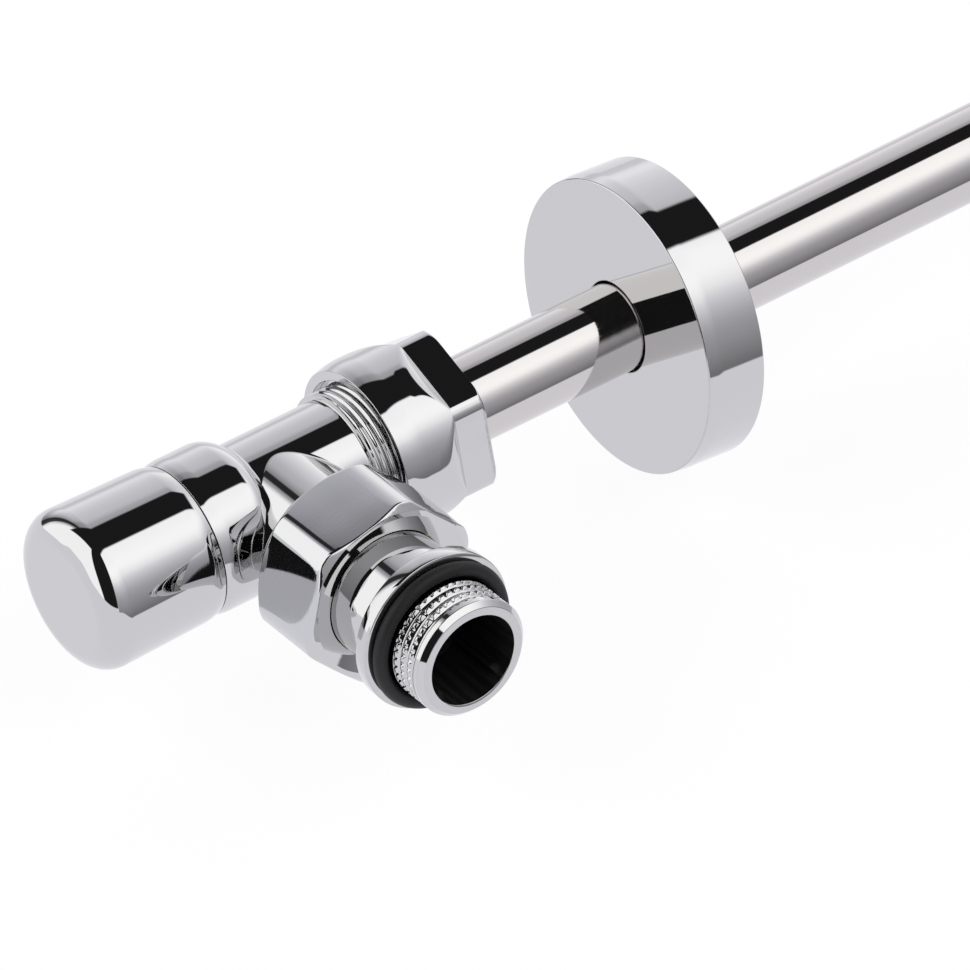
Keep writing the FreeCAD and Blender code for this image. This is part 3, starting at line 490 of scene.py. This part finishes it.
union_rows = divide(rounded_outline([
    (UNION_END, UNION_DISH_RADIUS, 0.12),
    (UNION_END, UNION_FACE_RADIUS, 0.15),
    (UNION_END - UNION_FRONT_CUT, UNION_CORNER, 0.6),
    (UNION_START + UNION_BACK_CUT, UNION_CORNER, 0.6),
    (UNION_START, UNION_CORNER - UNION_BACK_CUT, 0.3),
    (UNION_START, UNION_BORE, 0.2),
    (UNION_SHOULDER, UNION_BORE, 0.1),
    (UNION_SHOULDER, UNION_HOLE, 0.1),
    (UNION_END - UNION_DISH, UNION_HOLE, 0.12),
]), 0.3)
union_around = flats_angles(UNION_FLAT_EDGE, 15, 15)
angle, (along, radius, part_along, part_out, _) = turned_grid(union_rows, union_around)
off_flat = off_middle(angle)
# A flat's radius is its distance over the cosine of the angle off its middle, and the metal ends
# at the smaller of that and the turned outline. The crown tips the flat's normal by the square
# of the way to its edge, across it and along it.
radius, turned_share = softer_minimum(radius, UNION_FLAT / np.cos(off_flat), 0.5)
across_flat = np.tan(off_flat) / np.tan(np.radians(UNION_FLAT_EDGE))
along_flat = (along - 0.5 * (UNION_START + UNION_END)) / (0.5 * (UNION_END - UNION_START))
crown = off_flat - UNION_CROWN * across_flat * np.abs(across_flat)
lift = UNION_CROWN * along_flat * np.abs(along_flat)
angle = angle + UNION_TWIST
ground = 1.0 - turned_share
union_normals = turned_normal(
    TAIL_AXIS, turned_share * part_along + ground * lift,
    turned_share * part_out + ground * np.cos(crown), angle, -ground * np.sin(crown))
union_nut = make_piece(
    "union_nut_hexagon", placed(TAIL_AXIS, along, radius, angle).reshape(-1, 3),
    union_normals.reshape(-1, 3), [ring_faces(len(union_rows), len(union_around))],
    {"flat": ground.ravel()}, GROUND_CHROME)
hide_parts("union_nut")
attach(union_nut, "union_nut")

# ---------------------------------------------------------------------------------------------
# Tailpiece. Turned brass, chromed: the neck inside the union nut, the flange that holds the
# black seal, and a fine thread for the radiator with notched crests that keep its packing.
# ---------------------------------------------------------------------------------------------

TAIL_START, TAIL_END = along_tail("tailpiece")
TAIL_THREAD_START, TAIL_THREAD_RADIUS = 48.6, 10.4775
TAIL_PITCH, TAIL_THREAD_DEPTH, TAIL_NOTCHES, TAIL_RING = 1.814, 0.62, 42, 1.95
TAIL_NOTCH_DEPTH, TAIL_CHAMFER, RELIEF_RADIUS = 0.36, 0.9, 10.2275
FLANGE_FRONT, FLANGE_BACK, FLANGE_RADIUS, NECK_RADIUS, TAIL_BORE = 46.0, 43.2, 13.9775, 11.0, 6.4
SNAP_FRONT, SNAP_BACK, SNAP_RADIUS, LIP_BACK, LIP_RADIUS = 29.4, 28.2, 10.2, 27.0, 11.3
CONE_WIDE, CONE_NARROW = 9.8, 7.4
KEY_RADIUS, KEY_DEPTH, KEY_RIBS, KEY_RIB_HEIGHT = 8.0775, 13.0, 4, 0.9


def bore_painted_shade_finish():
    """The inside of the tail's key bore: painted shade, a nearly black dull colour standing in for
    the shadow deep in the bore, with faint broaching lines along it.
    """
    material, tree, shader, place = new_finish("bore_painted_shade")
    stretched = node(tree, "Mapping", {"Vector": place, "Scale": (900.0, 35.0, 900.0)})
    lines = node(tree, "TexNoise", {"Vector": stretched.outputs[0], "Scale": 1.0, "Detail": 3.0})
    mark = node(tree, "MapRange", {"Value": lines.outputs["Fac"], "From Min": 0.4,
                                   "From Max": 0.65})
    # Painted shade: the near-black colour stands for the shadow in the deep bore, and the slightly
    # lighter streaks follow the broaching lines.
    tint = node(tree, "Mix", {"Factor": mark.outputs[0], "A": (0.006, 0.006, 0.006, 1.0),
                              "B": (0.022, 0.021, 0.022, 1.0)}, data_type="RGBA")
    rough = node(tree, "MapRange", {"Value": lines.outputs["Fac"], "To Min": 0.45, "To Max": 0.65})
    bump = node(tree, "Bump", {"Height": lines.outputs["Fac"], "Strength": 0.3,
                               "Distance": 0.0001})
    finished(tree, shader, tint.outputs["Result"], rough.outputs[0], bump.outputs[0], 0.0)
    shader.inputs["Specular IOR Level"].default_value = 0.25
    return material


BORE_PAINTED_SHADE = bore_painted_shade_finish()

tail_rows = rounded_outline([
    (TAIL_END, KEY_RADIUS, 0.12),
    (TAIL_END, TAIL_THREAD_RADIUS - TAIL_CHAMFER, 0.25),
    (TAIL_END - TAIL_CHAMFER, TAIL_THREAD_RADIUS, 0.25),
    (TAIL_THREAD_START, TAIL_THREAD_RADIUS, 0.05),
    (TAIL_THREAD_START, RELIEF_RADIUS, 0.05),
    (FLANGE_FRONT, RELIEF_RADIUS, 0.1),
    (FLANGE_FRONT, FLANGE_RADIUS, 0.2),
    (FLANGE_BACK, FLANGE_RADIUS, 0.3),
    (FLANGE_BACK, NECK_RADIUS, 0.15),
    (SNAP_FRONT, NECK_RADIUS, 0.1),
    (SNAP_FRONT, SNAP_RADIUS, 0.1),
    (SNAP_BACK, SNAP_RADIUS, 0.1),
    (SNAP_BACK, LIP_RADIUS, 0.1),
    (LIP_BACK, LIP_RADIUS, 0.1),
    (LIP_BACK, CONE_WIDE, 0.1),
    (TAIL_START, CONE_NARROW, 0.1),
    (TAIL_START, TAIL_BORE, 0.1),
    (TAIL_END - KEY_DEPTH, TAIL_BORE, 0.1),
    (TAIL_END - KEY_DEPTH, KEY_RADIUS, 0.1),
], 7)
# Threads keep every fine row, the ribbed bore one in four, and plain runs one in twenty.
fine = divide(tail_rows, 0.16)
on_thread = (fine[:, 0] > TAIL_THREAD_START) & (fine[:, 1] > 10.0)
on_bore = (fine[:, 1] < KEY_RADIUS + 0.01) & (fine[:, 0] > TAIL_END - KEY_DEPTH - 0.2)
on_arc = np.abs(fine[:, 2] * fine[:, 3]) > 0.01
row_number = np.arange(len(fine))
tail_rows = fine[on_thread | on_arc | (on_bore & (row_number % 4 == 0)) | (row_number % 20 == 0)]
tail_around = np.linspace(0.0, 2.0 * np.pi, TAIL_NOTCHES * 8, endpoint=False)
angle, (along, radius, part_along, part_out, wear) = turned_grid(tail_rows, tail_around)
# The cut is the deeper of the thread's groove and the notches, and both stop at the end ring.
threaded = (along > TAIL_THREAD_START + 0.01) & (radius > 9.6) & (along < TAIL_END - 0.6)
crest = screw_thread(along, angle, TAIL_PITCH)
runs_out = fade(along, TAIL_END - TAIL_RING - 0.25, TAIL_END - TAIL_RING)
groove = TAIL_THREAD_DEPTH * (1.0 - crest) * (1.0 - runs_out)
notch = fade(np.cos(angle * TAIL_NOTCHES), 0.2, 0.9) * TAIL_NOTCH_DEPTH * (1.0 - runs_out)
radius = np.where(threaded, radius - np.maximum(groove, notch), radius)
rib = fade(np.cos((angle - np.radians(45.0)) * KEY_RIBS), 0.90, 0.97)
ribbed = (radius < KEY_RADIUS + 0.01) & (along > TAIL_END - KEY_DEPTH + 0.05)
rib_length = 1.0 - fade(along, TAIL_END - 2.2, TAIL_END - 1.6)
radius = np.where(ribbed, radius - KEY_RIB_HEIGHT * rib * rib_length, radius)
tail_points = placed(TAIL_AXIS, along, radius, angle)
plain = turned_normal(TAIL_AXIS, part_along, part_out, angle)
worked = (threaded | ribbed)[..., None]
tail_normals = np.where(worked, grid_normals(tail_points, plain), plain)
tailpiece = make_piece(
    "tailpiece_turned", tail_points.reshape(-1, 3), tail_normals.reshape(-1, 3),
    [ring_faces(len(tail_rows), len(tail_around))], {"wear": wear.ravel()}, CHROME)
# The faces inside the key bore take the painted shade, a near-black colour for the shadow deep in
# the bore.
tailpiece.data.materials.append(BORE_PAINTED_SHADE)
inside = (tail_rows[:, 1] < KEY_RADIUS + 0.02) & (tail_rows[:, 0] < TAIL_END - 0.10)
tailpiece.data.polygons.foreach_set(
    "material_index", np.repeat((inside & np.roll(inside, -1)).astype(np.int32),
                                len(tail_around)))
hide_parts("tailpiece")
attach(tailpiece, "valve")

# ---------------------------------------------------------------------------------------------
# Flange seal. A moulded ring of black rubber that sits on the flange, round the thread's root.
# ---------------------------------------------------------------------------------------------


def rubber_finish():
    """Black moulded rubber: nearly black, a little dusty, with a fine dull grain."""
    material, tree, shader, place = new_finish("black_rubber")
    grain = node(tree, "TexNoise", {"Vector": place, "Scale": 2600.0, "Detail": 3.0})
    dust = node(tree, "TexNoise", {"Vector": place, "Scale": 260.0, "Detail": 4.0})
    tint = node(tree, "Mix", {"Factor": dust.outputs["Fac"],
                              "A": (0.0098, 0.0098, 0.0105, 1.0),
                              "B": (0.0182, 0.0182, 0.0189, 1.0)},
                data_type="RGBA")
    rough = node(tree, "MapRange", {"Value": grain.outputs["Fac"], "To Min": 0.42,
                                    "To Max": 0.62})
    bump = node(tree, "Bump", {"Height": grain.outputs["Fac"], "Strength": 0.25,
                               "Distance": 0.00005})
    finished(tree, shader, tint.outputs["Result"], rough.outputs[0], bump.outputs[0], 0.0)
    shader.inputs["Specular IOR Level"].default_value = 0.3
    return material


BLACK_RUBBER = rubber_finish()
SEAL_RADIUS, SEAL_WIRE, SEAL_PLACE = 11.8775, 2.5, 47.25

seal_rows = arc_rows((SEAL_PLACE, SEAL_RADIUS), SEAL_WIRE * 0.5, 0.0, 360.0, 49)[:-1]
seal_points, seal_normals, seal_faces, _ = turned_shell(TAIL_AXIS, seal_rows)
flange_seal = make_piece("flange_seal_ring", seal_points, seal_normals, seal_faces, {},
                         BLACK_RUBBER)
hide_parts("flange_seal")
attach(flange_seal, "valve")

# ---------------------------------------------------------------------------------------------
# Compression nut. Turned brass, chromed and polished all over: a round collar whose six flats
# are milled from the pipe's end and run out up a hollow slope into the collar.
# ---------------------------------------------------------------------------------------------

NUT_START, NUT_END = along_main("compression_nut")
NUT_RADIUS, NUT_FLAT, NUT_FLAT_EDGE, NUT_PIPE_HOLE = 15.3, 13.6, 27.2, 7.8
NUT_BORE, NUT_BORE_END, NUT_MOUTH, NUT_MOUTH_DEPTH = 12.05, 30.0, 12.9, 1.5
NUT_FLAT_START, NUT_RAMP, NUT_LIP_RADIUS, NUT_SHOULDER = 28.8, 4.2, 14.6, 2.6
NUT_TWIST = np.radians(90.0 + 21.4)

nut_rows = divide(rounded_outline([
    (NUT_END, NUT_PIPE_HOLE, 0.25),
    (NUT_END, NUT_RADIUS, 0.8),
    (NUT_START + NUT_SHOULDER, NUT_RADIUS, 12.0),
    (NUT_START, NUT_LIP_RADIUS, 0.12),
    (NUT_START, NUT_MOUTH, 0.15),
    (NUT_START + NUT_MOUTH_DEPTH, NUT_MOUTH, 0.1),
    (NUT_START + NUT_MOUTH_DEPTH, NUT_BORE, 0.1),
    (NUT_BORE_END, NUT_BORE, 0.1),
    (NUT_BORE_END, NUT_PIPE_HOLE, 0.1),
]), 0.2)
nut_around = flats_angles(NUT_FLAT_EDGE, 32, 5)
angle, (along, radius, part_along, part_out, wear) = turned_grid(nut_rows, nut_around)
off_flat = off_middle(angle)
# A flat is at NUT_FLAT from the axis. On its ramp it is at the collar's radius less the fall
# times the square of the way down, and before the ramp it stands clear of the collar.
run_out = (along - (NUT_FLAT_START - NUT_RAMP)) / NUT_RAMP
on_ramp = run_out < 1.0
fall = NUT_RADIUS - NUT_FLAT
reach = NUT_RADIUS + fall * np.where(run_out < 0.0, 4.0, -1.0) * run_out ** 2
reach = np.where(on_ramp, reach, NUT_FLAT)
tilt = np.where(on_ramp, 2.0 * fall / NUT_RAMP * np.clip(run_out, 0.0, 1.0), 0.0)
ease = np.where(on_ramp, 0.45, 0.3)
uncut = radius
radius, turned_share = softer_minimum(radius, reach / np.cos(off_flat), ease)
# Buffing leaves the flats' ends very slightly drawn back.
along = along - 0.15 * (uncut - radius) * fade(along, NUT_END - 0.8, NUT_END)
milled = 1.0 - turned_share
angle = angle + NUT_TWIST
nut_normals = turned_normal(
    MAIN_AXIS, turned_share * part_along + milled * tilt,
    turned_share * part_out + milled * np.cos(off_flat), angle,
    -milled * np.sin(off_flat))
compression_nut = make_piece(
    "compression_nut_collar", placed(MAIN_AXIS, along, radius, angle).reshape(-1, 3),
    nut_normals.reshape(-1, 3), [ring_faces(len(nut_rows), len(nut_around))],
    {"wear": wear.ravel()}, CHROME)
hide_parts("compression_nut")
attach(compression_nut, "compression_nut")

# ---------------------------------------------------------------------------------------------
# Pipe. Drawn copper tube, plated and buffed along its length, so its chrome is a little warmer
# and less flat than the valve's. A shallow groove marks the depth of the wall fitting.
# ---------------------------------------------------------------------------------------------

PIPE_START, PIPE_END = along_main("pipe")
PIPE_RADIUS, PIPE_INNER = 7.5, 6.5
MARK_START, MARK_END, MARK_RADIUS = PIPE_END - 19.0, PIPE_END - 18.0, 7.2


def drawn_chrome_finish():
    """Warm chrome on drawn tube: a mirror with long, faint draw lines along the tube."""
    material, tree, shader, place = new_finish("drawn_chrome")
    stretched = node(tree, "Mapping", {"Vector": place, "Scale": (18.0, 2400.0, 2400.0)})
    lines = node(tree, "TexNoise", {"Vector": stretched.outputs[0], "Scale": 1.0, "Detail": 3.0})
    clouds = node(tree, "TexNoise", {"Vector": place, "Scale": 70.0, "Detail": 3.0})
    rough = node(tree, "MapRange", {"Value": lines.outputs["Fac"], "From Min": 0.3,
                                    "From Max": 0.7, "To Min": 0.03, "To Max": 0.07})
    tint = node(tree, "Mix", {"Factor": clouds.outputs["Fac"], "A": (0.60, 0.585, 0.572, 1.0),
                              "B": (0.625, 0.605, 0.592, 1.0)}, data_type="RGBA")
    bump = node(tree, "Bump", {"Height": lines.outputs["Fac"], "Strength": 0.03,
                               "Distance": 0.0001})
    finished(tree, shader, tint.outputs["Result"], rough.outputs[0], bump.outputs[0])
    return material


DRAWN_CHROME = drawn_chrome_finish()

pipe_rows = rounded_outline([
    (PIPE_END, PIPE_INNER, 0.15),
    (PIPE_END, PIPE_RADIUS, 0.25),
    (MARK_END, PIPE_RADIUS, 0.08),
    (MARK_END, MARK_RADIUS, 0.08),
    (MARK_START, MARK_RADIUS, 0.08),
    (MARK_START, PIPE_RADIUS, 0.08),
    (PIPE_START, PIPE_RADIUS, 0.1),
    (PIPE_START, PIPE_INNER, 0.1),
], 6)
pipe_points, pipe_normals, pipe_faces, _ = turned_shell(MAIN_AXIS, pipe_rows, 192)
pipe = make_piece("pipe_tube", pipe_points, pipe_normals, pipe_faces, {}, DRAWN_CHROME)
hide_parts("pipe")
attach(pipe, "valve")

# ---------------------------------------------------------------------------------------------
# Wall rosette. A cup pressed from thin brass sheet, chromed. It hides the hole in the wall and
# sits a few degrees crooked on a rubber grommet in the short ring behind its face.
# ---------------------------------------------------------------------------------------------

ROSETTE_TILT, ROSETTE_PLACE = np.radians(5.3), 69.7
ROSETTE_RADIUS, ROSETTE_FACE_RADIUS, ROSETTE_DEPTH, SHEET = 25.6, 25.38, 11.0, 1.0
ROSETTE_SHOULDER, ROSETTE_HOLE, COLLAR_INNER, COLLAR_DEPTH = 2.4, 7.82, 10.3, 5.6
rosette_run = np.array([np.cos(ROSETTE_TILT), 0.0, -np.sin(ROSETTE_TILT)])
rosette_up = np.array([np.sin(ROSETTE_TILT), 0.0, np.cos(ROSETTE_TILT)])
ROSETTE_AXIS = (CROSSING + MM * np.array([ROSETTE_PLACE, 0.0, 0.0]),
                np.array([rosette_run, [0.0, 1.0, 0.0], rosette_up]))
rosette_rows = rounded_outline([
    (ROSETTE_DEPTH, ROSETTE_RADIUS, 0.25),
    (ROSETTE_SHOULDER, ROSETTE_RADIUS, 12.0),
    (0.0, ROSETTE_FACE_RADIUS, 0.3),
    (0.0, ROSETTE_HOLE, 0.3),
    (SHEET, ROSETTE_HOLE, 0.1),
    (SHEET, COLLAR_INNER, 0.1),
    (COLLAR_DEPTH, COLLAR_INNER, 0.1),
    (COLLAR_DEPTH, COLLAR_INNER + SHEET, 0.1),
    (SHEET, COLLAR_INNER + SHEET, 0.1),
    (SHEET, ROSETTE_RADIUS - SHEET, 0.3),
    (ROSETTE_DEPTH, ROSETTE_RADIUS - SHEET, 0.1),
])
rosette_points, rosette_normals, rosette_faces, rosette_wear = turned_shell(
    ROSETTE_AXIS, rosette_rows, 384)
rosette = make_piece("rosette_cup", rosette_points, rosette_normals, rosette_faces,
                     {"wear": rosette_wear}, CHROME)
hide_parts("rosette")
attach(rosette, "rosette")

# ---------------------------------------------------------------------------------------------
# Inner parts. Brass headwork, spindle and rings, rubber seals, a moulded hub and a steel clip
# keep their made shapes and take the finish of their own stuff.
# ---------------------------------------------------------------------------------------------


def plain_finish(name, dark, light, metallic, rough, scale):
    """One stuff's two shades in soft clouds, with fine turning or moulding marks in its gloss."""
    material, tree, shader, place = new_finish(name)
    clouds = node(tree, "TexNoise", {"Vector": place, "Scale": scale, "Detail": 4.0})
    marks = node(tree, "TexNoise", {"Vector": place, "Scale": scale * 12.0, "Detail": 2.0})
    tint = node(tree, "Mix", {"Factor": clouds.outputs["Fac"], "A": (*dark, 1.0),
                              "B": (*light, 1.0)}, data_type="RGBA")
    gloss = node(tree, "MapRange", {"Value": marks.outputs["Fac"], "To Min": rough[0],
                                    "To Max": rough[1]})
    bump = node(tree, "Bump", {"Height": marks.outputs["Fac"], "Strength": 0.1,
                               "Distance": 0.0001})
    finished(tree, shader, tint.outputs["Result"], gloss.outputs[0], bump.outputs[0], metallic)
    return material


BRASS = plain_finish("turned_brass", (0.62, 0.43, 0.18), (0.74, 0.54, 0.26), 1.0,
                     (0.20, 0.36), 180.0)
HUB_PLASTIC = plain_finish("moulded_hub", (0.030, 0.030, 0.033), (0.045, 0.045, 0.048), 0.0,
                           (0.42, 0.56), 220.0)
SPRING_STEEL = plain_finish("spring_steel", (0.42, 0.42, 0.43), (0.52, 0.52, 0.53), 1.0,
                            (0.22, 0.35), 260.0)
WHITE_PLASTIC = plain_finish("white_plastic", (0.72, 0.72, 0.70), (0.78, 0.78, 0.76), 0.0,
                             (0.38, 0.50), 200.0)
INNER_FINISHES = {
    "headwork": BRASS, "gland_nut": BRASS, "olive": BRASS, "thrust_ring": WHITE_PLASTIC,
    "spindle": BRASS, "valve_disc": BRASS, "disc_screw": SPRING_STEEL,
    "pipe_sleeve": BRASS, "union_slide_ring": BRASS, "union_snap_ring": SPRING_STEEL,
    "handle_clip": SPRING_STEEL, "handle_hub": HUB_PLASTIC,
    "headwork_seal": BLACK_RUBBER, "tail_cone_seal": BLACK_RUBBER, "pipe_seal": BLACK_RUBBER,
    "spindle_seal_1": BLACK_RUBBER, "spindle_seal_2": BLACK_RUBBER,
    "disc_washer": BLACK_RUBBER, "rosette_grommet": BLACK_RUBBER,
}
for name, finish in INNER_FINISHES.items():
    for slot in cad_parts[name].material_slots:
        slot.material = finish

# ---------------------------------------------------------------------------------------------
# Floor. A plain white sheet just under the rosette, with the object's own soft shadow on it.
# It turns into plain white further out, and lets a camera below it look up through it.
# ---------------------------------------------------------------------------------------------

FLOOR_RADIUS, FLOOR_SIDES, FLOOR_CLEARANCE = 2.5, 64, 0.0006
PAINT_SHARE, PAINT_NEAR, PAINT_FAR, PAINT_LOSS = 0.16, 0.16, 0.55, 0.39
floor_turn = np.linspace(0.0, 2.0 * np.pi, FLOOR_SIDES, endpoint=False)
floor_points = np.stack([FLOOR_RADIUS * np.cos(floor_turn), FLOOR_RADIUS * np.sin(floor_turn),
                         np.full(FLOOR_SIDES, cad_box[0][2] - FLOOR_CLEARANCE)], axis=1)
floor_mesh = bpy.data.meshes.new("floor_sheet")
floor_mesh.from_pydata(floor_points.tolist(), [], [list(range(FLOOR_SIDES))])
floor = bpy.data.objects.new("floor_sheet", floor_mesh)
bpy.context.scene.collection.objects.link(floor)
floor_paint = bpy.data.materials.new("floor_white")
floor_paint.use_nodes = True
tree = floor_paint.node_tree
tree.nodes.clear()
place = node(tree, "TexCoord").outputs["Object"]
flat_place = node(tree, "VectorMath", {0: place, 1: (1.0, 1.0, 0.0)}, operation="MULTIPLY")
away = node(tree, "VectorMath", {0: flat_place.outputs[0]}, operation="LENGTH")
near = node(tree, "MapRange", {"Value": away.outputs["Value"], "From Min": PAINT_NEAR,
                               "From Max": PAINT_FAR, "To Min": PAINT_SHARE, "To Max": 0.0},
            interpolation_type="SMOOTHSTEP")
# The paint returns about two thirds of full white, so the rest of the mix makes up the loss.
made_up = node(tree, "Math", {0: near.outputs[0], 1: PAINT_LOSS, 2: 1.0},
               operation="MULTIPLY_ADD")
paint = node(tree, "BsdfDiffuse", {"Color": (1.0, 1.0, 1.0, 1.0)})
glow = node(tree, "Emission", {"Color": (1.0, 1.0, 1.0, 1.0), "Strength": made_up.outputs[0]})
lit = node(tree, "MixShader", {0: near.outputs[0], 1: glow.outputs[0], 2: paint.outputs[0]})
through = node(tree, "BsdfTransparent")
below = node(tree, "NewGeometry").outputs["Backfacing"]
sheet = node(tree, "MixShader", {0: below, 1: lit.outputs[0], 2: through.outputs[0]})
node(tree, "OutputMaterial", {"Surface": sheet.outputs[0]})
floor_mesh.materials.append(floor_paint)
floor.visible_glossy = False
floor.visible_diffuse = False
floor.visible_transmission = False
floor.visible_shadow = False

# ---------------------------------------------------------------------------------------------
# Studio. A white table below, a tall soft box in front on the right, another on the left, a
# paler wall behind, and the dark gaps between them that give polished metal its black bands.
# ---------------------------------------------------------------------------------------------

world = bpy.data.worlds.new("studio")
bpy.context.scene.world = world
world.use_nodes = True
tree = world.node_tree
tree.nodes.clear()


def sum_of(kind, first, second=0.0, third=0.0):
    """One step of arithmetic on studio directions."""
    return node(tree, "Math", {0: first, 1: second, 2: third}, operation=kind).outputs[0]


def eased_step(value, start, end):
    """0 before start and 1 after end, smoothly."""
    return node(tree, "MapRange", {"Value": value, "From Min": start, "From Max": end},
                interpolation_type="SMOOTHSTEP").outputs[0]


def blended(share, first, second):
    """The first number where share is 0 and the second where it is 1."""
    return node(tree, "Mix", {"Factor": share, "A": first, "B": second}).outputs["Result"]


def brightness_curve(value, low, high, pairs):
    """Brightness that follows a smooth curve through the given (value, brightness) pairs."""
    scaled = node(tree, "MapRange", {"Value": value, "From Min": low, "From Max": high})
    curve = node(tree, "FloatCurve", {"Value": scaled.outputs[0]})
    line = curve.mapping.curves[0]
    for at, bright in pairs[1:-1]:
        line.points.new((at - low) / (high - low), bright / 2.0)
    line.points[0].location = (0.0, pairs[0][1] / 2.0)
    line.points[len(pairs) - 1].location = (1.0, pairs[-1][1] / 2.0)
    curve.mapping.update()
    return sum_of("MULTIPLY", curve.outputs[0], 2.0)


# Height is in degrees above level. Bearing is in degrees from straight in front, with the right
# positive. Wrapped is the bearing with a full turn added below WRAP_AT, so that it counts on
# without a break from the front round the right, the back and the left.
DEGREES = 57.29578
WRAP_AT, CAMERA_GAP, ARM_GAP = -27.5, -49.5, 192.0
TABLE_BRIGHT, LEFT_BOX_BRIGHT, GAP_BRIGHT = 0.97, 1.42, 0.016
gaze = node(tree, "SeparateXYZ", {0: node(tree, "TexCoord").outputs["Generated"]})
gaze_x, gaze_y, gaze_z = gaze.outputs
height = sum_of("MULTIPLY", sum_of("ARCSINE", gaze_z), DEGREES)
bearing = sum_of("MULTIPLY", sum_of("ARCTAN2", gaze_x, sum_of("MULTIPLY", gaze_y, -1.0)), DEGREES)
wrapped = sum_of("MULTIPLY_ADD", sum_of("LESS_THAN", bearing, WRAP_AT), 360.0, bearing)

front_box = brightness_curve(height, -30.0, 90.0, [
    (-30, 0.20), (-20, 0.25), (-11, 0.34), (-2, 0.43), (7, 0.52), (16, 0.70), (25, 0.98),
    (34, 1.35), (42, 1.50), (57, 1.45), (90, 1.40)])
back_wall = brightness_curve(height, -10.0, 90.0, [
    (-10, 0.97), (2, 0.98), (11, 1.33), (20, 1.19), (29, 1.04), (37, 0.93), (45, 0.82),
    (53, 0.55), (90, 0.50)])
wall_fall = brightness_curve(wrapped, 130.0, 210.0, [
    (130, 1.0), (142, 0.95), (155, 0.84), (164, 0.82), (175, 0.60), (185, 0.35), (196, 0.65),
    (210, 1.0)])
wall = sum_of("MULTIPLY", back_wall, wall_fall)
past_front = eased_step(wrapped, 60.0, 130.0)
on_left = eased_step(wrapped, 195.0, 205.0)
bright = blended(past_front, front_box, blended(on_left, wall, LEFT_BOX_BRIGHT))

# The dark ceiling gap, the gap where the camera stands, and a narrow one behind on the left.
low_edge = sum_of("MULTIPLY_ADD", gaze_x, 0.23, -0.30)
high_edge = sum_of("MULTIPLY_ADD", gaze_x, -0.30, 0.49)
ceiling = sum_of("MULTIPLY", eased_step(gaze_x, -0.40, -0.36), eased_step(gaze_x, 0.78, 0.72))
ceiling = sum_of("MULTIPLY", ceiling,
                 eased_step(sum_of("SUBTRACT", gaze_y, low_edge), -0.025, 0.025))
ceiling = sum_of("MULTIPLY", ceiling,
                 eased_step(sum_of("SUBTRACT", high_edge, gaze_y), -0.025, 0.025))
ceiling = sum_of("MULTIPLY", ceiling, eased_step(gaze_z, 0.2, 0.3))
camera_off = sum_of("ABSOLUTE", sum_of("SUBTRACT", bearing, CAMERA_GAP))
camera_gap = eased_step(sum_of("MULTIPLY_ADD", height, -0.12, camera_off), 23.0, 21.0)
arm_off = sum_of("SUBTRACT", sum_of("MULTIPLY_ADD", height, 0.13, wrapped), ARM_GAP)
arm_off = sum_of("ABSOLUTE", arm_off)
arm = sum_of("MULTIPLY", eased_step(arm_off, 7.5, 4.5), 0.93)
dark = sum_of("MAXIMUM", ceiling, sum_of("MAXIMUM", camera_gap, arm))
bright = blended(dark, bright, GAP_BRIGHT)

# The table's edge, as a height: it falls from left to right in front, and at the back it is a
# little below level but for one stretch on the left, which stands above it.
near_edge = blended(eased_step(bearing, -20.0, 22.0), -10.0, -21.6)
left_edge = blended(sum_of("MULTIPLY", eased_step(wrapped, 228.0, 240.0),
                           eased_step(wrapped, 264.0, 254.0)), -5.0, 7.0)
table_edge = blended(past_front, near_edge, left_edge)
on_table = eased_step(sum_of("SUBTRACT", height, table_edge), 0.8, -0.8)
bright = blended(on_table, bright, TABLE_BRIGHT)
# Light up to plain white is a touch cool, and brighter light is neutral.
neutral = eased_step(bright, 1.0, 1.35)
shade = node(tree, "Mix", {"Factor": neutral, "A": (0.992, 0.981, 1.037, 1.0),
                           "B": (1.0, 1.0, 1.0, 1.0)}, data_type="RGBA")
seen = node(tree, "LightPath").outputs["Is Camera Ray"]
pattern = node(tree, "Background", {"Color": shade.outputs["Result"], "Strength": bright})
plain_white = node(tree, "Background", {"Color": (1.0, 1.0, 1.0, 1.0), "Strength": 1.0})
studio = node(tree, "MixShader", {0: seen, 1: pattern.outputs[0], 2: plain_white.outputs[0]})
node(tree, "OutputWorld", {"Surface": studio.outputs[0]})

# ---------------------------------------------------------------------------------------------
# Camera. A long lens from the front left and above, turned a little about its own axis.
# ---------------------------------------------------------------------------------------------

SENSOR_WIDTH, CAMERA_DISTANCE, WIDTH_SEEN = 36.0, 2.7027, 0.156604
camera_data = bpy.data.cameras.new("camera")
camera_data.sensor_width = SENSOR_WIDTH
camera_data.lens = SENSOR_WIDTH * CAMERA_DISTANCE / WIDTH_SEEN
camera = bpy.data.objects.new("camera", camera_data)
bpy.context.scene.collection.objects.link(camera)
bpy.context.scene.camera = camera
right = np.array([0.80502097, -0.59005605, -0.06144183])
up = np.array([0.39810456, 0.460527, 0.79336476])
back = np.array([-0.43983406, -0.66313554, 0.6056379])
pose = np.eye(4)
pose[:3, 0], pose[:3, 1], pose[:3, 2] = right, up, back
pose[:3, 3] = [-1.154483, -1.755128, 1.628904]
camera.matrix_world = pose.T.tolist()

view = bpy.context.scene.view_settings
view.view_transform = "Standard"
